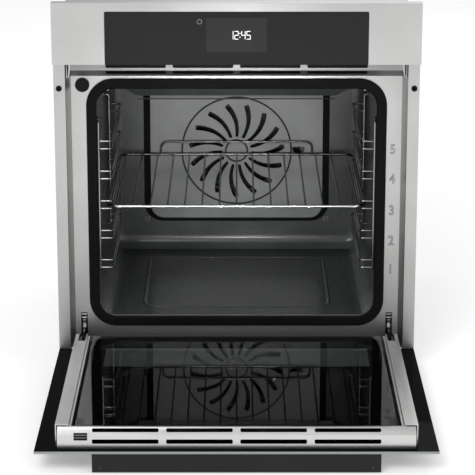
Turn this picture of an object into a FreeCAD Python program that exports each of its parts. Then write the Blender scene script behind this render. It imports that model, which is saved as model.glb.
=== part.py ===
import FreeCAD, Part
import math
import os
import re
import Sketcher
from FreeCAD import Placement, Rotation, Vector

# A built-in wall oven, door open. Millimetres: +X right, the front faces -Y, +Z up.
# Y = 0 is the cabinet's front plane, Z = 0 the underside of the base tray, X = 0 the middle.
os.makedirs("parts", exist_ok=True)
doc = FreeCAD.newDocument("wallOven")

# Driving dimensions
sizes = {
    # outside
    "fasciaHalf": 297.5, "ovenTop": 594, "bodyTop": 589, "bodyBack": 546,
    "faceFront": 21, "sheet": 1, "fasciaLow": 494, "frameLow": 7.5, "frameTop": 588,
    # control panel
    "glassHalf": 212, "glassLow": 495, "glassTop": 580, "glassThick": 4, "glassRound": 3,
    "displayHalf": 48.7, "displayLow": 514.7, "displayTop": 570.2,
    # vent rail and the slots that the door's rail repeats
    "railRidgeDeep": 2, "railRidge": 480.4, "railTop": 502, "railBack": 40,
    "slotLong": 98, "slotPitch": 109.1, "slotRound": 2,
    # recessed front frame
    "flatDeep": 18, "flatHalf": 270.8, "flatLow": 25, "flatTop": 468.2, "wallFoot": 278.6,
    "plugSide": -252, "plugRise": 453.4, "plugRadius": 11.7, "plugStem": 8,
    "screwSide": 288.7, "screwRise": 451, "bushRadius": 4.85, "screwHole": 2.3,
    "hingeIn": 250.4, "hingeOut": 261.6, "hingeSlotTop": 64,
    # cavity and its seal
    "cavityHalf": 236, "cavityLow": 60, "cavityTop": 456, "cavityBack": 434, "cavityRound": 34,
    "cavityBackRound": 24, "sealOuter": 246.7, "sealLow": 40.8, "sealTop": 464.7,
    "sealOuterRound": 46, "sealInner": 228.7, "sealInnerLow": 59.2, "sealInnerTop": 448.7,
    "sealInnerRound": 28, "sealFront": 12.6, "sealSoft": 2.6,
    # fan cover, fan and ring element
    "coverFront": 424, "coverHalf": 158.5, "coverBaseHalf": 171.3, "coverLow": 120,
    "coverBaseLow": 111, "coverTop": 391, "coverBaseTop": 400, "coverSheet": 0.8,
    "fanRise": 247.5, "bladeSlotInner": 28, "bladeSlotOuter": 87, "bladeSlotSweep": 13.5,
    "bladeSlotFirst": 11.8, "bladeSlotCount": 15, "bladeSlotWide": 8.8, "bladeSlotNarrow": 4.8,
    "bladeSlotBow": 0.115, "chamberRadius": 150, "chamberBack": 470, "fanRadius": 72,
    "bladeCount": 14, "shaftRadius": 3, "running": 0.05, "ringRadius": 84, "elementRadius": 3.25,
    "sprayHoleSide": 115, "sprayHoleRadius": 8,
    # racks and shelf
    "rackWire": 2.1, "rungWire": 1.9, "rackSide": 229.3, "rungSide": 208, "rackFront": 45,
    "rackRear": 345, "rackLow": 130, "rackHigh": 370, "rungFirst": 135, "levelPitch": 51.2,
    "rungGap": 13, "levels": 5, "shelfBar": 2.75, "shelfWire": 1.5, "shelfHalf": 215,
    "shelfFront": 40, "shelfRear": 419, "shelfWirePitch": 28.8, "guardHalf": 139, "guardHigh": 23,
    "shelfRise": 242.4,
    # door, lying open
    "pivotDeep": -3.5, "pivotRise": 20, "doorLong": 474, "paneLow": 2.4, "paneTop": 6,
    "profileIn": 244, "profileOut": 267.7, "profileTop": 39, "profileNear": 22, "profileFar": 448,
    "middleHalf": 243.5, "middleLow": 18, "middleTop": 21.8, "innerHalf": 238.6, "innerLow": 31.7,
    "innerTop": 35.7, "innerFar": 443, "endRailHalf": 264, "endRailFace": 461, "endRailFold": 27,
    "endRailCrest": 452, "endRailTop": 36.7, "handleHalf": 212.5, "handleDrop": 26,
    "handleDeep": 24, "pinRadius": 3,
    # cooling fan
    "blowerSide": 100, "blowerDeep": 440, "blowerRise": 532, "blowerRadius": 30, "vaneCount": 24,
    "deckLow": 484,
}
sheet = doc.addObject("Spreadsheet::Sheet", "Sizes")
for row, (alias, amount) in enumerate(sizes.items(), start=1):
    sheet.set(f"A{row}", alias)
    sheet.set(f"B{row}", str(amount))
    sheet.setAlias(f"B{row}", alias)
doc.recompute()

subParts = []
dim = {alias: float(sheet.get(alias)) for alias in sizes}
turnTo = {"X": Rotation(Vector(0, 1, 0), 90), "Y": Rotation(Vector(1, 0, 0), -90), "Z": Rotation()}
sideNames = {-1: "left", 1: "right"}


def linked(rule):
    """Turn a rule written with aliases into an expression that reads the sheet."""
    found = lambda word: "Sizes." + word.group() if word.group() in sizes else word.group()
    return re.sub(r"[A-Za-z]+", found, str(rule))


def amountOf(rule):
    """Work out a rule in a spare cell of the sheet."""
    sheet.set("D1", "=" + str(rule))
    sheet.recompute()
    return float(sheet.get("D1"))


def subPart(solid):
    subParts.append(solid)
    return solid


# Plain solids

def block(label, low, high):
    solid = doc.addObject("Part::Box", label)
    for side, letter, start, end in zip(("Length", "Width", "Height"), "xyz", low, high):
        solid.setExpression(side, linked(f"({end}) - ({start})"))
        solid.setExpression(f"Placement.Base.{letter}", linked(start))
    return solid


def rod(label, axis, start, radius, length):
    solid = doc.addObject("Part::Cylinder", label)
    solid.Placement = Placement(Vector(), turnTo[axis])
    solid.setExpression("Radius", linked(radius))
    solid.setExpression("Height", linked(length))
    for letter, place in zip("xyz", start):
        solid.setExpression(f"Placement.Base.{letter}", linked(place))
    return solid


def fuse(label, *pieces):
    solid = doc.addObject("Part::MultiFuse", label)
    solid.Shapes = list(pieces)
    return solid


def cut(label, base, *tools):
    solid = doc.addObject("Part::Cut", label)
    solid.Base = base
    solid.Tool = tools[0] if len(tools) == 1 else fuse(label + "_tools", *tools)
    return solid


def group(label, *pieces):
    several = doc.addObject("Part::Compound", label)
    several.Links = list(pieces)
    return several


# Sketched bodies

def originPlane(owner, role):
    return [plane for plane in owner.Origin.OriginFeatures if plane.Role == role + "_Plane"][0]


def newSketch(owner, name, role, offset):
    sketch = owner.newObject("Sketcher::SketchObject", name)
    sketch.AttachmentSupport = (originPlane(owner, role), [""])
    sketch.MapMode = "FlatFace"
    # the XZ plane's own normal is -Y
    sign = "-1" if role == "XZ" else "1"
    sketch.setExpression("AttachmentOffset.Base.z", linked(f"{sign} * ({offset})"))
    return sketch


def hold(sketch, kind, geometry, point, rule):
    """Fix one coordinate of a point from the sketch's origin by a rule."""
    index = sketch.addConstraint(Sketcher.Constraint(kind, -1, 1, geometry, point, amountOf(rule)))
    sketch.setExpression(f"Constraints[{index}]", linked(rule))


def outlineSketch(owner, name, role, offset, corners):
    sketch = newSketch(owner, name, role, offset)
    spots = [Vector(amountOf(across), amountOf(up), 0) for across, up in corners]
    for index, spot in enumerate(spots):
        sketch.addGeometry(Part.LineSegment(spot, spots[(index + 1) % len(spots)]), False)
    for index in range(len(spots)):
        following = (index + 1) % len(spots)
        sketch.addConstraint(Sketcher.Constraint("Coincident", index, 2, following, 1))
    for index, (across, up) in enumerate(corners):
        hold(sketch, "DistanceX", index, 1, across)
        hold(sketch, "DistanceY", index, 1, up)
    return sketch


def roundedSketch(owner, name, role, offset, low, high, radius):
    sketch = newSketch(owner, name, role, offset)
    left, bottom = [amountOf(rule) for rule in low]
    right, top = [amountOf(rule) for rule in high]
    bend = amountOf(radius)
    centres = [(right - bend, bottom + bend), (right - bend, top - bend),
               (left + bend, top - bend), (left + bend, bottom + bend)]
    starts = [(left + bend, bottom), (right, bottom + bend), (right - bend, top), (left, top - bend)]
    ends = [(right - bend, bottom), (right, top - bend), (left + bend, top), (left, bottom + bend)]
    for index in range(4):
        sketch.addGeometry(Part.LineSegment(Vector(*starts[index], 0), Vector(*ends[index], 0)), False)
        circle = Part.Circle(Vector(*centres[index], 0), Vector(0, 0, 1), bend)
        turn = math.pi / 2 * (index - 1)
        sketch.addGeometry(Part.ArcOfCircle(circle, turn, turn + math.pi / 2), False)
    for index in range(8):
        sketch.addConstraint(Sketcher.Constraint("Tangent", index, 2, (index + 1) % 8, 1))
    for line, kind in ((0, "Horizontal"), (2, "Vertical"), (4, "Horizontal"), (6, "Vertical")):
        sketch.addConstraint(Sketcher.Constraint(kind, line))
    for arc in (3, 5, 7):
        sketch.addConstraint(Sketcher.Constraint("Equal", 1, arc))
    index = sketch.addConstraint(Sketcher.Constraint("Radius", 1, bend))
    sketch.setExpression(f"Constraints[{index}]", linked(radius))
    hold(sketch, "DistanceY", 0, 1, low[1])
    hold(sketch, "DistanceX", 2, 1, high[0])
    hold(sketch, "DistanceY", 4, 1, high[1])
    hold(sketch, "DistanceX", 6, 1, low[0])
    return sketch


def extend(owner, kind, name, sketch, role, length):
    """Pad or pocket a sketch towards +X, +Y or +Z."""
    feature = owner.newObject("PartDesign::" + kind, name)
    feature.Profile = sketch
    feature.setExpression("Length", linked(length))
    feature.Reversed = (role == "XZ") == (kind == "Pad")
    return feature


def prism(label, role, corners, start, end):
    owner = doc.addObject("PartDesign::Body", label)
    sketch = outlineSketch(owner, label + "_outline", role, start, corners)
    extend(owner, "Pad", label + "_pad", sketch, role, f"({end}) - ({start})")
    return owner


def roundedPrism(label, role, low, high, radius, start, end):
    owner = doc.addObject("PartDesign::Body", label)
    sketch = roundedSketch(owner, label + "_outline", role, start, low, high, radius)
    extend(owner, "Pad", label + "_pad", sketch, role, f"({end}) - ({start})")
    return owner


def pierce(owner, name, role, low, high, radius, start, end):
    """Pocket one rounded window between two depths."""
    sketch = roundedSketch(owner, name + "_outline", role, start, low, high, radius)
    return extend(owner, "Pocket", name, sketch, role, f"({end}) - ({start})")


def slotRow(owner, name, low, high, start, end):
    """Four long slots side by side, cut through along Y."""
    first = "-1.5 * slotPitch"
    sides = (f"{first} - slotLong / 2", f"{first} + slotLong / 2")
    slot = pierce(owner, name, "XZ", (sides[0], low), (sides[1], high), "slotRound", start, end)
    row = owner.newObject("PartDesign::LinearPattern", name + "_row")
    row.Originals = [slot]
    row.Direction = (slot.Profile[0], ["H_Axis"])
    row.setExpression("Length", linked("3 * slotPitch"))
    row.Occurrences = 4
    owner.Tip = row
    return row


def roundFace(owner, name, depth, radius):
    """Round every edge of the body's flat face at one depth."""
    doc.recompute()
    base = owner.Tip
    edges = []
    for index, edge in enumerate(base.Shape.Edges, start=1):
        box = edge.BoundBox
        if abs(box.YMin - amountOf(depth)) < 0.01 and box.YLength < 0.01:
            edges.append(f"Edge{index}")
    soft = owner.newObject("PartDesign::Fillet", name)
    soft.Base = (base, edges)
    soft.setExpression("Radius", linked(radius))


def bentWire(points, radius, bend):
    """A round wire through points, with an arc at each inner point."""
    spots = [Vector(*point) for point in points]
    edges = []
    start = spots[0]
    for before, corner, after in zip(spots, spots[1:], spots[2:]):
        into = (before - corner).normalize()
        away = (after - corner).normalize()
        half = into.getAngle(away) / 2
        reach = bend / math.tan(half)
        bisector = (into + away).normalize()
        middle = corner + bisector * (bend / math.sin(half) - bend)
        edges.append(Part.LineSegment(start, corner + into * reach).toShape())
        edges.append(Part.Arc(corner + into * reach, middle, corner + away * reach).toShape())
        start = corner + away * reach
    edges.append(Part.LineSegment(start, spots[-1]).toShape())
    path = Part.Wire(edges)
    ring = Part.Circle(spots[0], spots[1] - spots[0], radius).toShape()
    return path.makePipeShell([Part.Wire([ring])], True, True)


def shaped(label, shape):
    feature = doc.addObject("Part::Feature", label)
    feature.Shape = shape
    feature.Placement = Placement()
    return feature


# Control panel

def fasciaPanel():
    outer = block("fascia_outer", ("-fasciaHalf", "-faceFront", "fasciaLow"),
                  ("fasciaHalf", -1, "ovenTop"))
    hollow = block("fascia_hollow", ("-fasciaHalf + sheet", "-faceFront + sheet", "fasciaLow + sheet"),
                   ("fasciaHalf - sheet", 0, "ovenTop - sheet"))
    window = block("fascia_window", ("-glassHalf - 0.3", "-faceFront - 1", "glassLow"),
                   ("glassHalf + 0.3", "-faceFront + 2", "glassTop + 0.3"))
    subPart(cut("fascia_panel", outer, hollow, window))


def controlGlass():
    pane = roundedPrism("control_glass", "XZ", ("-glassHalf", "glassLow"), ("glassHalf", "glassTop"),
                        "glassRound", "-faceFront", "-faceFront + glassThick")
    subPart(pane)


def controlCarrier():
    outer = block("carrier_outer", (-225, "-faceFront + sheet", "glassLow"), (225, -4, 592))
    recess = block("carrier_recess", ("-glassHalf - 0.3", "-faceFront", "glassLow - 1"),
                   ("glassHalf + 0.3", "-faceFront + glassThick", "glassTop + 0.3"))
    hollow = block("carrier_hollow", (-222, -15, 498), (222, 0, 589))
    window = block("carrier_window", ("-displayHalf - 0.3", -18, "displayLow - 0.3"),
                   ("displayHalf + 0.3", -14, "displayTop + 0.3"))
    shell = cut("carrier_shell", outer, recess, hollow, window)
    posts = [rod(f"carrier_post_{index}", "Y", (side, -15.5, rise), 4, 6.5)
             for index, (side, rise) in enumerate(((-140, 510), (140, 510), (-140, 578), (140, 578)))]
    subPart(fuse("control_carrier", shell, *posts))
    screen = block("display_screen", ("-displayHalf", "-faceFront + glassThick", "displayLow"),
                   ("displayHalf", -9, "displayTop"))
    board = block("display_board", (-150, -9, 503), (150, -7.4, 585))
    subPart(fuse("display_module", screen, board))


# Frame, vent rail, seal and the small fittings in them

def ventRail():
    profile = [("flatDeep", "flatTop"), ("railRidgeDeep", "railRidge"), ("railRidgeDeep", "railTop"),
               ("railBack", "railTop"), ("railBack", "railTop - sheet"),
               ("railRidgeDeep + sheet", "railTop - sheet"),
               ("railRidgeDeep + sheet", "railRidge + sheet / 2"), ("flatDeep + 1.2", "flatTop")]
    rail = prism("vent_rail", "YZ", profile, "-flatHalf", "flatHalf")
    slotRow(rail, "vent_upper_slots", "railRidge + 4", "railTop - 8", 0, 6)
    slotRow(rail, "vent_lower_slots", "railRidge - 7.6", "railRidge - 1.4", 0, 17)
    subPart(rail)


def frontFrame():
    profile = [("-fasciaHalf", -1), ("-wallFoot", -1), ("-flatHalf", "flatDeep"),
               ("flatHalf", "flatDeep"), ("wallFoot", -1), ("fasciaHalf", -1), ("fasciaHalf", 0),
               ("wallFoot + 1.06", 0), ("flatHalf + 0.66", "flatDeep + sheet"),
               ("-flatHalf - 0.66", "flatDeep + sheet"), ("-wallFoot - 1.06", 0), ("-fasciaHalf", 0)]
    stamped = prism("frame_stamping", "XY", profile, "frameLow", "frameTop")
    tools = [
        block("frame_head_gap", ("-flatHalf", 10, "flatTop"), ("flatHalf", 30, "frameTop + 1")),
        block("frame_foot_gap", ("-flatHalf", 10, 0), ("flatHalf", 30, "flatLow")),
        roundedPrism("frame_mouth", "XZ", ("-cavityHalf", "cavityLow"), ("cavityHalf", "cavityTop"),
                     "cavityRound", 10, 30),
        rod("frame_plug_hole", "Y", ("plugSide", 10, "plugRise"), "plugStem + 0.2", 20),
    ]
    for side in (-1, 1):
        name = sideNames[side]
        ends = sorted((f"{side} * hingeIn", f"{side} * hingeOut"), key=amountOf)
        tools.append(block(f"frame_hinge_slot_{name}", (ends[0], 10, 20), (ends[1], 30, "hingeSlotTop")))
        tools.append(rod(f"frame_screw_hole_{name}", "Y", (f"{side} * screwSide", -5, "screwRise"), 3.6, 10))
    subPart(cut("front_frame", stamped, *tools))


def doorGasket():
    ring = roundedPrism("door_gasket", "XZ", ("-sealOuter", "sealLow"), ("sealOuter", "sealTop"),
                        "sealOuterRound", "sealFront", "flatDeep")
    pierce(ring, "gasket_mouth", "XZ", ("-sealInner", "sealInnerLow"), ("sealInner", "sealInnerTop"),
           "sealInnerRound", "sealFront - 1", "flatDeep + 1")
    roundFace(ring, "gasket_soft_edge", "sealFront", "sealSoft")
    subPart(ring)


def frameFittings():
    head = rod("plug_head", "Y", ("plugSide", "flatDeep - 2.5", "plugRise"), "plugRadius", 2.5)
    stem = rod("plug_stem", "Y", ("plugSide", "flatDeep - 1", "plugRise"), "plugStem", 3)
    subPart(fuse("frame_plug", head, stem))
    bushes = []
    for side in (-1, 1):
        name = sideNames[side]
        collar = rod(f"bush_collar_{name}", "Y", (f"{side} * screwSide", -2.5, "screwRise"), "bushRadius", 1.5)
        neck = rod(f"bush_neck_{name}", "Y", (f"{side} * screwSide", -2, "screwRise"), 3.5, 5)
        hole = rod(f"bush_hole_{name}", "Y", (f"{side} * screwSide", -5, "screwRise"), "screwHole", 10)
        bushes.append(cut(f"bush_{name}", fuse(f"bush_body_{name}", collar, neck), hole))
    subPart(group("frame_screw_bushes", *bushes))


# Cavity

def cavityLiner():
    outer = roundedPrism("liner_outer", "XZ", ("-cavityHalf - sheet", "cavityLow - sheet"),
                         ("cavityHalf + sheet", "cavityTop + sheet"), "cavityRound + sheet",
                         "flatDeep + sheet", "cavityBack + sheet")
    roundFace(outer, "liner_outer_back", "cavityBack + sheet", "cavityBackRound + sheet")
    inner = roundedPrism("liner_inner", "XZ", ("-cavityHalf", "cavityLow"), ("cavityHalf", "cavityTop"),
                         "cavityRound", "flatDeep", "cavityBack")
    roundFace(inner, "liner_inner_back", "cavityBack", "cavityBackRound")
    flange = roundedPrism("liner_flange", "XZ", ("-cavityHalf - 12", "cavityLow - 16"),
                          ("cavityHalf + 12", "cavityTop + 8"), "cavityRound", "flatDeep + sheet",
                          "flatDeep + 2 * sheet")
    tools = [inner,
             rod("liner_fan_hole", "Y", (0, 420, "fanRise"), "chamberRadius - 32", 30),
             rod("liner_lamp_hole", "Z", (165, 345, "cavityTop - 5"), 29, 20)]
    for index, side in enumerate((-20, 20)):
        tools.append(rod(f"liner_element_hole_{index}", "Y", (side, 425, 440), 4, 20))
    subPart(cut("cavity_liner", fuse("liner_shell", outer, flange), *tools))


def lamp():
    socket = rod("socket_outer", "Z", (165, 345, "cavityTop"), 29, 26)
    hollow = rod("socket_hollow", "Z", (165, 345, "cavityTop - 1"), 20, 22)
    flangeGap = rod("socket_neck_gap", "Z", (165, 345, "cavityTop - 1"), 24.2, 2)
    subPart(cut("lamp_socket", socket, hollow, flangeGap))
    dome = rod("lens_outer", "Z", (165, 345, "cavityTop - 9"), 30, 9)
    inside = rod("lens_hollow", "Z", (165, 345, "cavityTop - 6"), 25, 9)
    subPart(cut("lamp_glass", dome, inside))
    subPart(rod("lamp_bulb", "Z", (165, 345, "cavityTop - 2"), 8, 23))


def rearBaffle():
    profile = [(421, 352), (392, "cavityTop"), (393, "cavityTop"), (422, 352)]
    slanted = prism("baffle_sheet", "YZ", profile, -226, 226)
    tools = []
    for side in (-1, 1):
        name = sideNames[side]
        wedge = [(f"{side} * 180.5", 351), (f"{side} * 228", 351), (f"{side} * 228", 378.5)]
        tools.append(prism(f"baffle_corner_{name}", "XZ", wedge, 380, 430))
        shoulder = [(f"{side} * 196", "cavityTop + 1"), (f"{side} * 230", "cavityTop + 1"),
                    (f"{side} * 230", "cavityTop - 26")]
        tools.append(prism(f"baffle_shoulder_{name}", "XZ", shoulder, 380, 430))
        tools.append(rod(f"baffle_hole_{name}", "Y", (f"{side} * 20", 380, 440), 5, 40))
    tools.append(block("baffle_trim", (-230, 380, 345), (230, 430, 352)))
    subPart(cut("rear_baffle", slanted, *tools))


def bladeSlots():
    """The curved air slots, as one body to cut with."""
    owner = doc.addObject("PartDesign::Body", "blade_slots")
    sketch = newSketch(owner, "blade_slot_outline", "XZ", "coverFront - 5")

    def polar(radius, degrees):
        turn = math.radians(degrees)
        return Vector(radius * math.sin(turn), dim["fanRise"] + radius * math.cos(turn), 0)

    outer = polar(dim["bladeSlotOuter"], dim["bladeSlotFirst"])
    inner = polar(dim["bladeSlotInner"], dim["bladeSlotFirst"] + dim["bladeSlotSweep"])
    chord = outer - inner
    across = Vector(chord.y, -chord.x, 0).normalize()
    middle = (outer + inner) / 2 + across * chord.Length * dim["bladeSlotBow"]
    wide = dim["bladeSlotWide"] / 2
    narrow = dim["bladeSlotNarrow"] / 2
    mean = (wide + narrow) / 2
    tip = inner - chord.normalize() * narrow
    curves = [Part.Arc(outer + across * wide, middle + across * mean, inner + across * narrow),
              Part.Arc(inner + across * narrow, tip, inner - across * narrow),
              Part.Arc(inner - across * narrow, middle - across * mean, outer - across * wide),
              Part.LineSegment(outer - across * wide, outer + across * wide)]
    for curve in curves:
        sketch.addGeometry(curve, False)
    for index in range(4):
        sketch.addConstraint(Sketcher.Constraint("Block", index))
    doc.recompute()
    slot = extend(owner, "Pad", "blade_slot", sketch, "XZ", 12)
    centre = newSketch(owner, "blade_centre", "XZ", "coverFront - 5")
    centre.setExpression("AttachmentOffset.Base.y", linked("fanRise"))
    ring = owner.newObject("PartDesign::PolarPattern", "blade_slot_ring")
    ring.Originals = [slot]
    ring.Axis = (centre, ["N_Axis"])
    ring.Angle = 360
    ring.setExpression("Occurrences", linked("bladeSlotCount"))
    owner.Tip = ring
    return owner


def wedge(label, inset, front, back):
    """The fan cover's tray: narrow at the front, wide at the back wall."""
    solid = doc.addObject("Part::Wedge", label)
    rules = {"Ymin": front, "Ymax": back, "Xmin": f"-coverHalf + {inset}", "Xmax": f"coverHalf - {inset}",
             "Zmin": f"coverLow + {inset}", "Zmax": f"coverTop - {inset}",
             "X2min": f"-coverBaseHalf + {inset}", "X2max": f"coverBaseHalf - {inset}",
             "Z2min": f"coverBaseLow + {inset}", "Z2max": f"coverBaseTop - {inset}"}
    for name, rule in rules.items():
        solid.setExpression(name, linked(rule))
    return solid


def fanCover():
    outer = wedge("cover_outer", 0, "coverFront", "cavityBack")
    inner = wedge("cover_inner", "coverSheet", "coverFront + coverSheet", "cavityBack + 1")
    corners = []
    lugs = []
    screws = []
    holes = []
    for side in (-1, 1):
        for name, rise in (("lower", "coverBaseLow + 4.5"), ("upper", "coverBaseTop - 4.5")):
            tag = f"{sideNames[side]}_{name}"
            centre = f"{side} * 166.3"
            low = (f"{centre} - 5", "coverFront + 7", f"{rise} - 4.5")
            high = (f"{centre} + 5", "coverFront + 8", f"{rise} + 4.5")
            corners.append(block(f"cover_corner_{tag}", (low[0], "coverFront - 1", low[2]),
                                 (high[0], "coverFront + 7.5", high[2])))
            lugs.append(block(f"cover_lug_{tag}", low, high))
            holes.append(rod(f"cover_lug_hole_{tag}", "Y", (centre, 420, rise), 2.2, 20))
            head = rod(f"screw_head_{tag}", "Y", (centre, "coverFront + 4.6", rise), 4.2, 2.4)
            shank = rod(f"screw_shank_{tag}", "Y", (centre, "coverFront + 6", rise), 2,
                        "cavityBack - coverFront - 6")
            screws.append(fuse(f"cover_screw_{tag}", head, shank))
    sprayHole = rod("cover_round_hole", "Y", ("sprayHoleSide", 420, "fanRise + 4"), "sprayHoleRadius", 20)
    tray = cut("cover_tray", outer, inner, *corners)
    subPart(cut("fan_cover", fuse("cover_with_lugs", tray, *lugs), bladeSlots(), sprayHole, *holes))
    subPart(group("fan_cover_screws", *screws))


# Convection fan behind the cover

def ringOfBoxes(owner, name, role, offset, low, high, depth, count, centre):
    """One padded rectangle repeated round an axis."""
    corners = [(low[0], low[1]), (high[0], low[1]), (high[0], high[1]), (low[0], high[1])]
    sketch = outlineSketch(owner, name + "_outline", role, offset, corners)
    one = extend(owner, "Pad", name, sketch, role, depth)
    axis = newSketch(owner, name + "_centre", role, offset)
    axis.setExpression("AttachmentOffset.Base.x", linked(centre[0]))
    axis.setExpression("AttachmentOffset.Base.y", linked(centre[1]))
    ring = owner.newObject("PartDesign::PolarPattern", name + "_ring")
    ring.Originals = [one]
    ring.Axis = (axis, ["N_Axis"])
    ring.Angle = 360
    ring.setExpression("Occurrences", linked(count))
    owner.Tip = ring


def fanChamber():
    outer = rod("chamber_outer", "Y", (0, "cavityBack + sheet", "fanRise"), "chamberRadius",
                "chamberBack - cavityBack - sheet")
    hollow = rod("chamber_hollow", "Y", (0, "cavityBack", "fanRise"), "chamberRadius - sheet",
                 "chamberBack - cavityBack - sheet")
    shaftHole = rod("chamber_shaft_hole", "Y", (0, 460, "fanRise"), 8, 20)
    leads = [rod(f"chamber_lead_hole_{index}", "Y", (side, 460, "fanRise - ringRadius"), 4.2, 20)
             for index, side in enumerate((-12, 12))]
    subPart(cut("fan_chamber", outer, hollow, shaftHole, *leads))


def ringElement():
    radius = dim["ringRadius"]
    tube = dim["elementRadius"]
    centre = Vector(0, 452, dim["fanRise"])
    gap = math.degrees(math.asin(12 / radius))
    profile = Part.Face(Part.Wire([Part.Circle(Vector(radius, 0, 0), Vector(0, 1, 0), tube).toShape()]))
    coil = profile.revolve(Vector(), Vector(0, 0, 1), 360 - 2 * gap)
    coil.rotate(Vector(), Vector(0, 0, 1), gap)
    coil.rotate(Vector(), Vector(1, 0, 0), 90)
    coil.rotate(Vector(), Vector(0, 1, 0), 90)
    coil.translate(centre)
    drop = radius * math.cos(math.radians(gap))
    leads = []
    for side in (-12, 12):
        start = Vector(side, centre.y, dim["fanRise"] - drop)
        leads.append(Part.makeCylinder(tube - 0.15, 28, start, Vector(0, 1, 0)))
        leads.append(Part.makeSphere(tube, start))
    subPart(shaped("ring_element", coil.multiFuse(leads).removeSplitter()))


def convectionFan():
    owner = doc.addObject("PartDesign::Body", "fan_blades")
    ringOfBoxes(owner, "fan_blade", "XZ", 441, (-0.5, "fanRise + fanRadius - 26"),
                (0.5, "fanRise + fanRadius"), 17, "bladeCount", (0, "fanRise"))
    disc = rod("fan_disc", "Y", (0, 457.6, "fanRise"), "fanRadius", 1)
    hub = rod("fan_hub", "Y", (0, 452, "fanRise"), 9, 12)
    bore = rod("fan_bore", "Y", (0, 430, "fanRise"), "shaftRadius", 60)
    subPart(cut("convection_fan", fuse("fan_wheel", owner, disc, hub), bore))
    subPart(rod("fan_shaft", "Y", (0, 446, "fanRise"), "shaftRadius", 54))
    nut = rod("nut_outer", "Y", (0, 446.5, "fanRise"), 6, 5.5)
    nutBore = rod("nut_bore", "Y", (0, 440, "fanRise"), "shaftRadius", 20)
    subPart(cut("fan_nut", nut, nutBore))


def fanMotor():
    can = rod("motor_can", "Y", (0, 478, "fanRise"), 36, 42)
    bracket = block("motor_bracket", (-60, 476, "fanRise - 22"), (60, 478, "fanRise + 22"))
    posts = [rod(f"motor_post_{index}", "Y", (side, "chamberBack", "fanRise"), 4, 6.5)
             for index, side in enumerate((-52, 52))]
    bore = rod("motor_bore", "Y", (0, 470, "fanRise"), "shaftRadius + running", 36)
    subPart(cut("fan_motor", fuse("motor_body", can, bracket, *posts), bore))


# Heating elements, probe, racks and shelf

def heatingElements():
    tube = dim["elementRadius"]
    upper = [(-20, 458), (-20, 380), (-180, 380), (-180, 80), (-90, 80), (-90, 335), (15, 335),
             (15, 80), (105, 80), (105, 380), (20, 380), (20, 458)]
    lower = [(-20, 458), (-20, 400), (-150, 400), (-150, 60), (150, 60), (150, 400), (20, 400), (20, 458)]
    subPart(shaped("grill_element", bentWire([(across, deep, 440) for across, deep in upper], tube, 14)))
    subPart(shaped("bottom_element", bentWire([(across, deep, 53.5) for across, deep in lower], tube, 14)))
    stem = rod("probe_stem", "X", ("-cavityHalf", 372, 410), 2.4, 34)
    seat = rod("probe_seat", "X", ("-cavityHalf", 372, 410), 6, 3)
    subPart(fuse("temperature_probe", stem, seat))


def racks():
    side = dim["rackSide"]
    inward = dim["rungSide"]
    front = dim["rackFront"]
    rear = dim["rackRear"]
    for sign in (-1, 1):
        wall = sign * (dim["cavityHalf"] - 0.3)
        uprights = [
            bentWire([(wall, front, dim["rackLow"]), (sign * side, front, dim["rackLow"]),
                      (sign * side, front, dim["rackHigh"] + 15)], dim["rackWire"], 4),
            bentWire([(wall, rear, dim["rackLow"]), (sign * side, rear, dim["rackLow"]),
                      (sign * side, rear, dim["rackHigh"]), (wall, rear, dim["rackHigh"])],
                     dim["rackWire"], 4)]
        rungs = []
        for level in range(int(dim["levels"])):
            for lift in (0, dim["rungGap"]):
                rise = dim["rungFirst"] + dim["levelPitch"] * level + lift
                path = [(sign * side, front, rise), (sign * inward, front, rise),
                        (sign * inward, rear, rise), (sign * side, rear, rise)]
                rungs.append(bentWire(path, dim["rungWire"], 5))
        shape = uprights[0].multiFuse([uprights[1]] + rungs)
        subPart(shaped("rack_" + sideNames[sign], shape))
    studs = []
    for sign in (-1, 1):
        for name, deep, rise in (("front", "rackFront", "rackHigh + 20"),
                                 ("rear", "rackRear", "rackHigh + 8")):
            start = f"{sign} * (cavityHalf - 4) - 4"
            studs.append(rod(f"stud_{sideNames[sign]}_{name}", "X", (start, deep, rise), 5, 8))
    subPart(group("rack_studs", *studs))


def wireShelf():
    half = dim["shelfHalf"]
    front = dim["shelfFront"]
    rear = dim["shelfRear"]
    rise = dim["shelfRise"]
    bar = dim["shelfBar"]
    rounding = 24
    loop = [(0, front, rise), (half, front, rise), (half, rear, rise), (-half, rear, rise),
            (-half, front, rise), (0, front, rise)]
    frame = bentWire(loop, bar, rounding)
    wires = []
    for index in range(-7, 8):
        across = index * dim["shelfWirePitch"]
        start = Vector(across, front, rise + 1)
        wires.append(Part.makeCylinder(dim["shelfWire"], rear - front, start, Vector(0, 1, 0)))
    guard = dim["guardHalf"]
    lift = rise + dim["guardHigh"]
    wires.append(bentWire([(-guard, rear, rise), (-guard, rear, lift), (guard, rear, lift),
                           (guard, rear, rise)], 2, 12))
    subPart(shaped("wire_shelf", frame.multiFuse(wires)))


# Casing

def insulation():
    outer = block("blanket_outer", (-266, "flatDeep + 2 * sheet", 33), (266, 462, "deckLow"))
    tools = [
        block("blanket_hollow", ("-cavityHalf - sheet", 19, 48),
              ("cavityHalf + sheet", "cavityBack + sheet", "cavityTop + sheet")),
        rod("blanket_fan_hole", "Y", (0, 430, "fanRise"), "chamberRadius", 50),
        rod("blanket_lamp_hole", "Z", (165, 345, 450), 29.3, 50),
        block("blanket_upper_leads", (-32, 430, 430), (32, 470, 450)),
        block("blanket_lower_leads", (-32, 430, 44), (32, 470, 62)),
    ]
    for side in (-1, 1):
        ends = sorted((side * 248, side * 270))
        tools.append(block(f"blanket_hinge_gap_{sideNames[side]}", (ends[0], 10, 30), (ends[1], 64, 72)))
    subPart(cut("insulation_blanket", outer, *tools))


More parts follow.
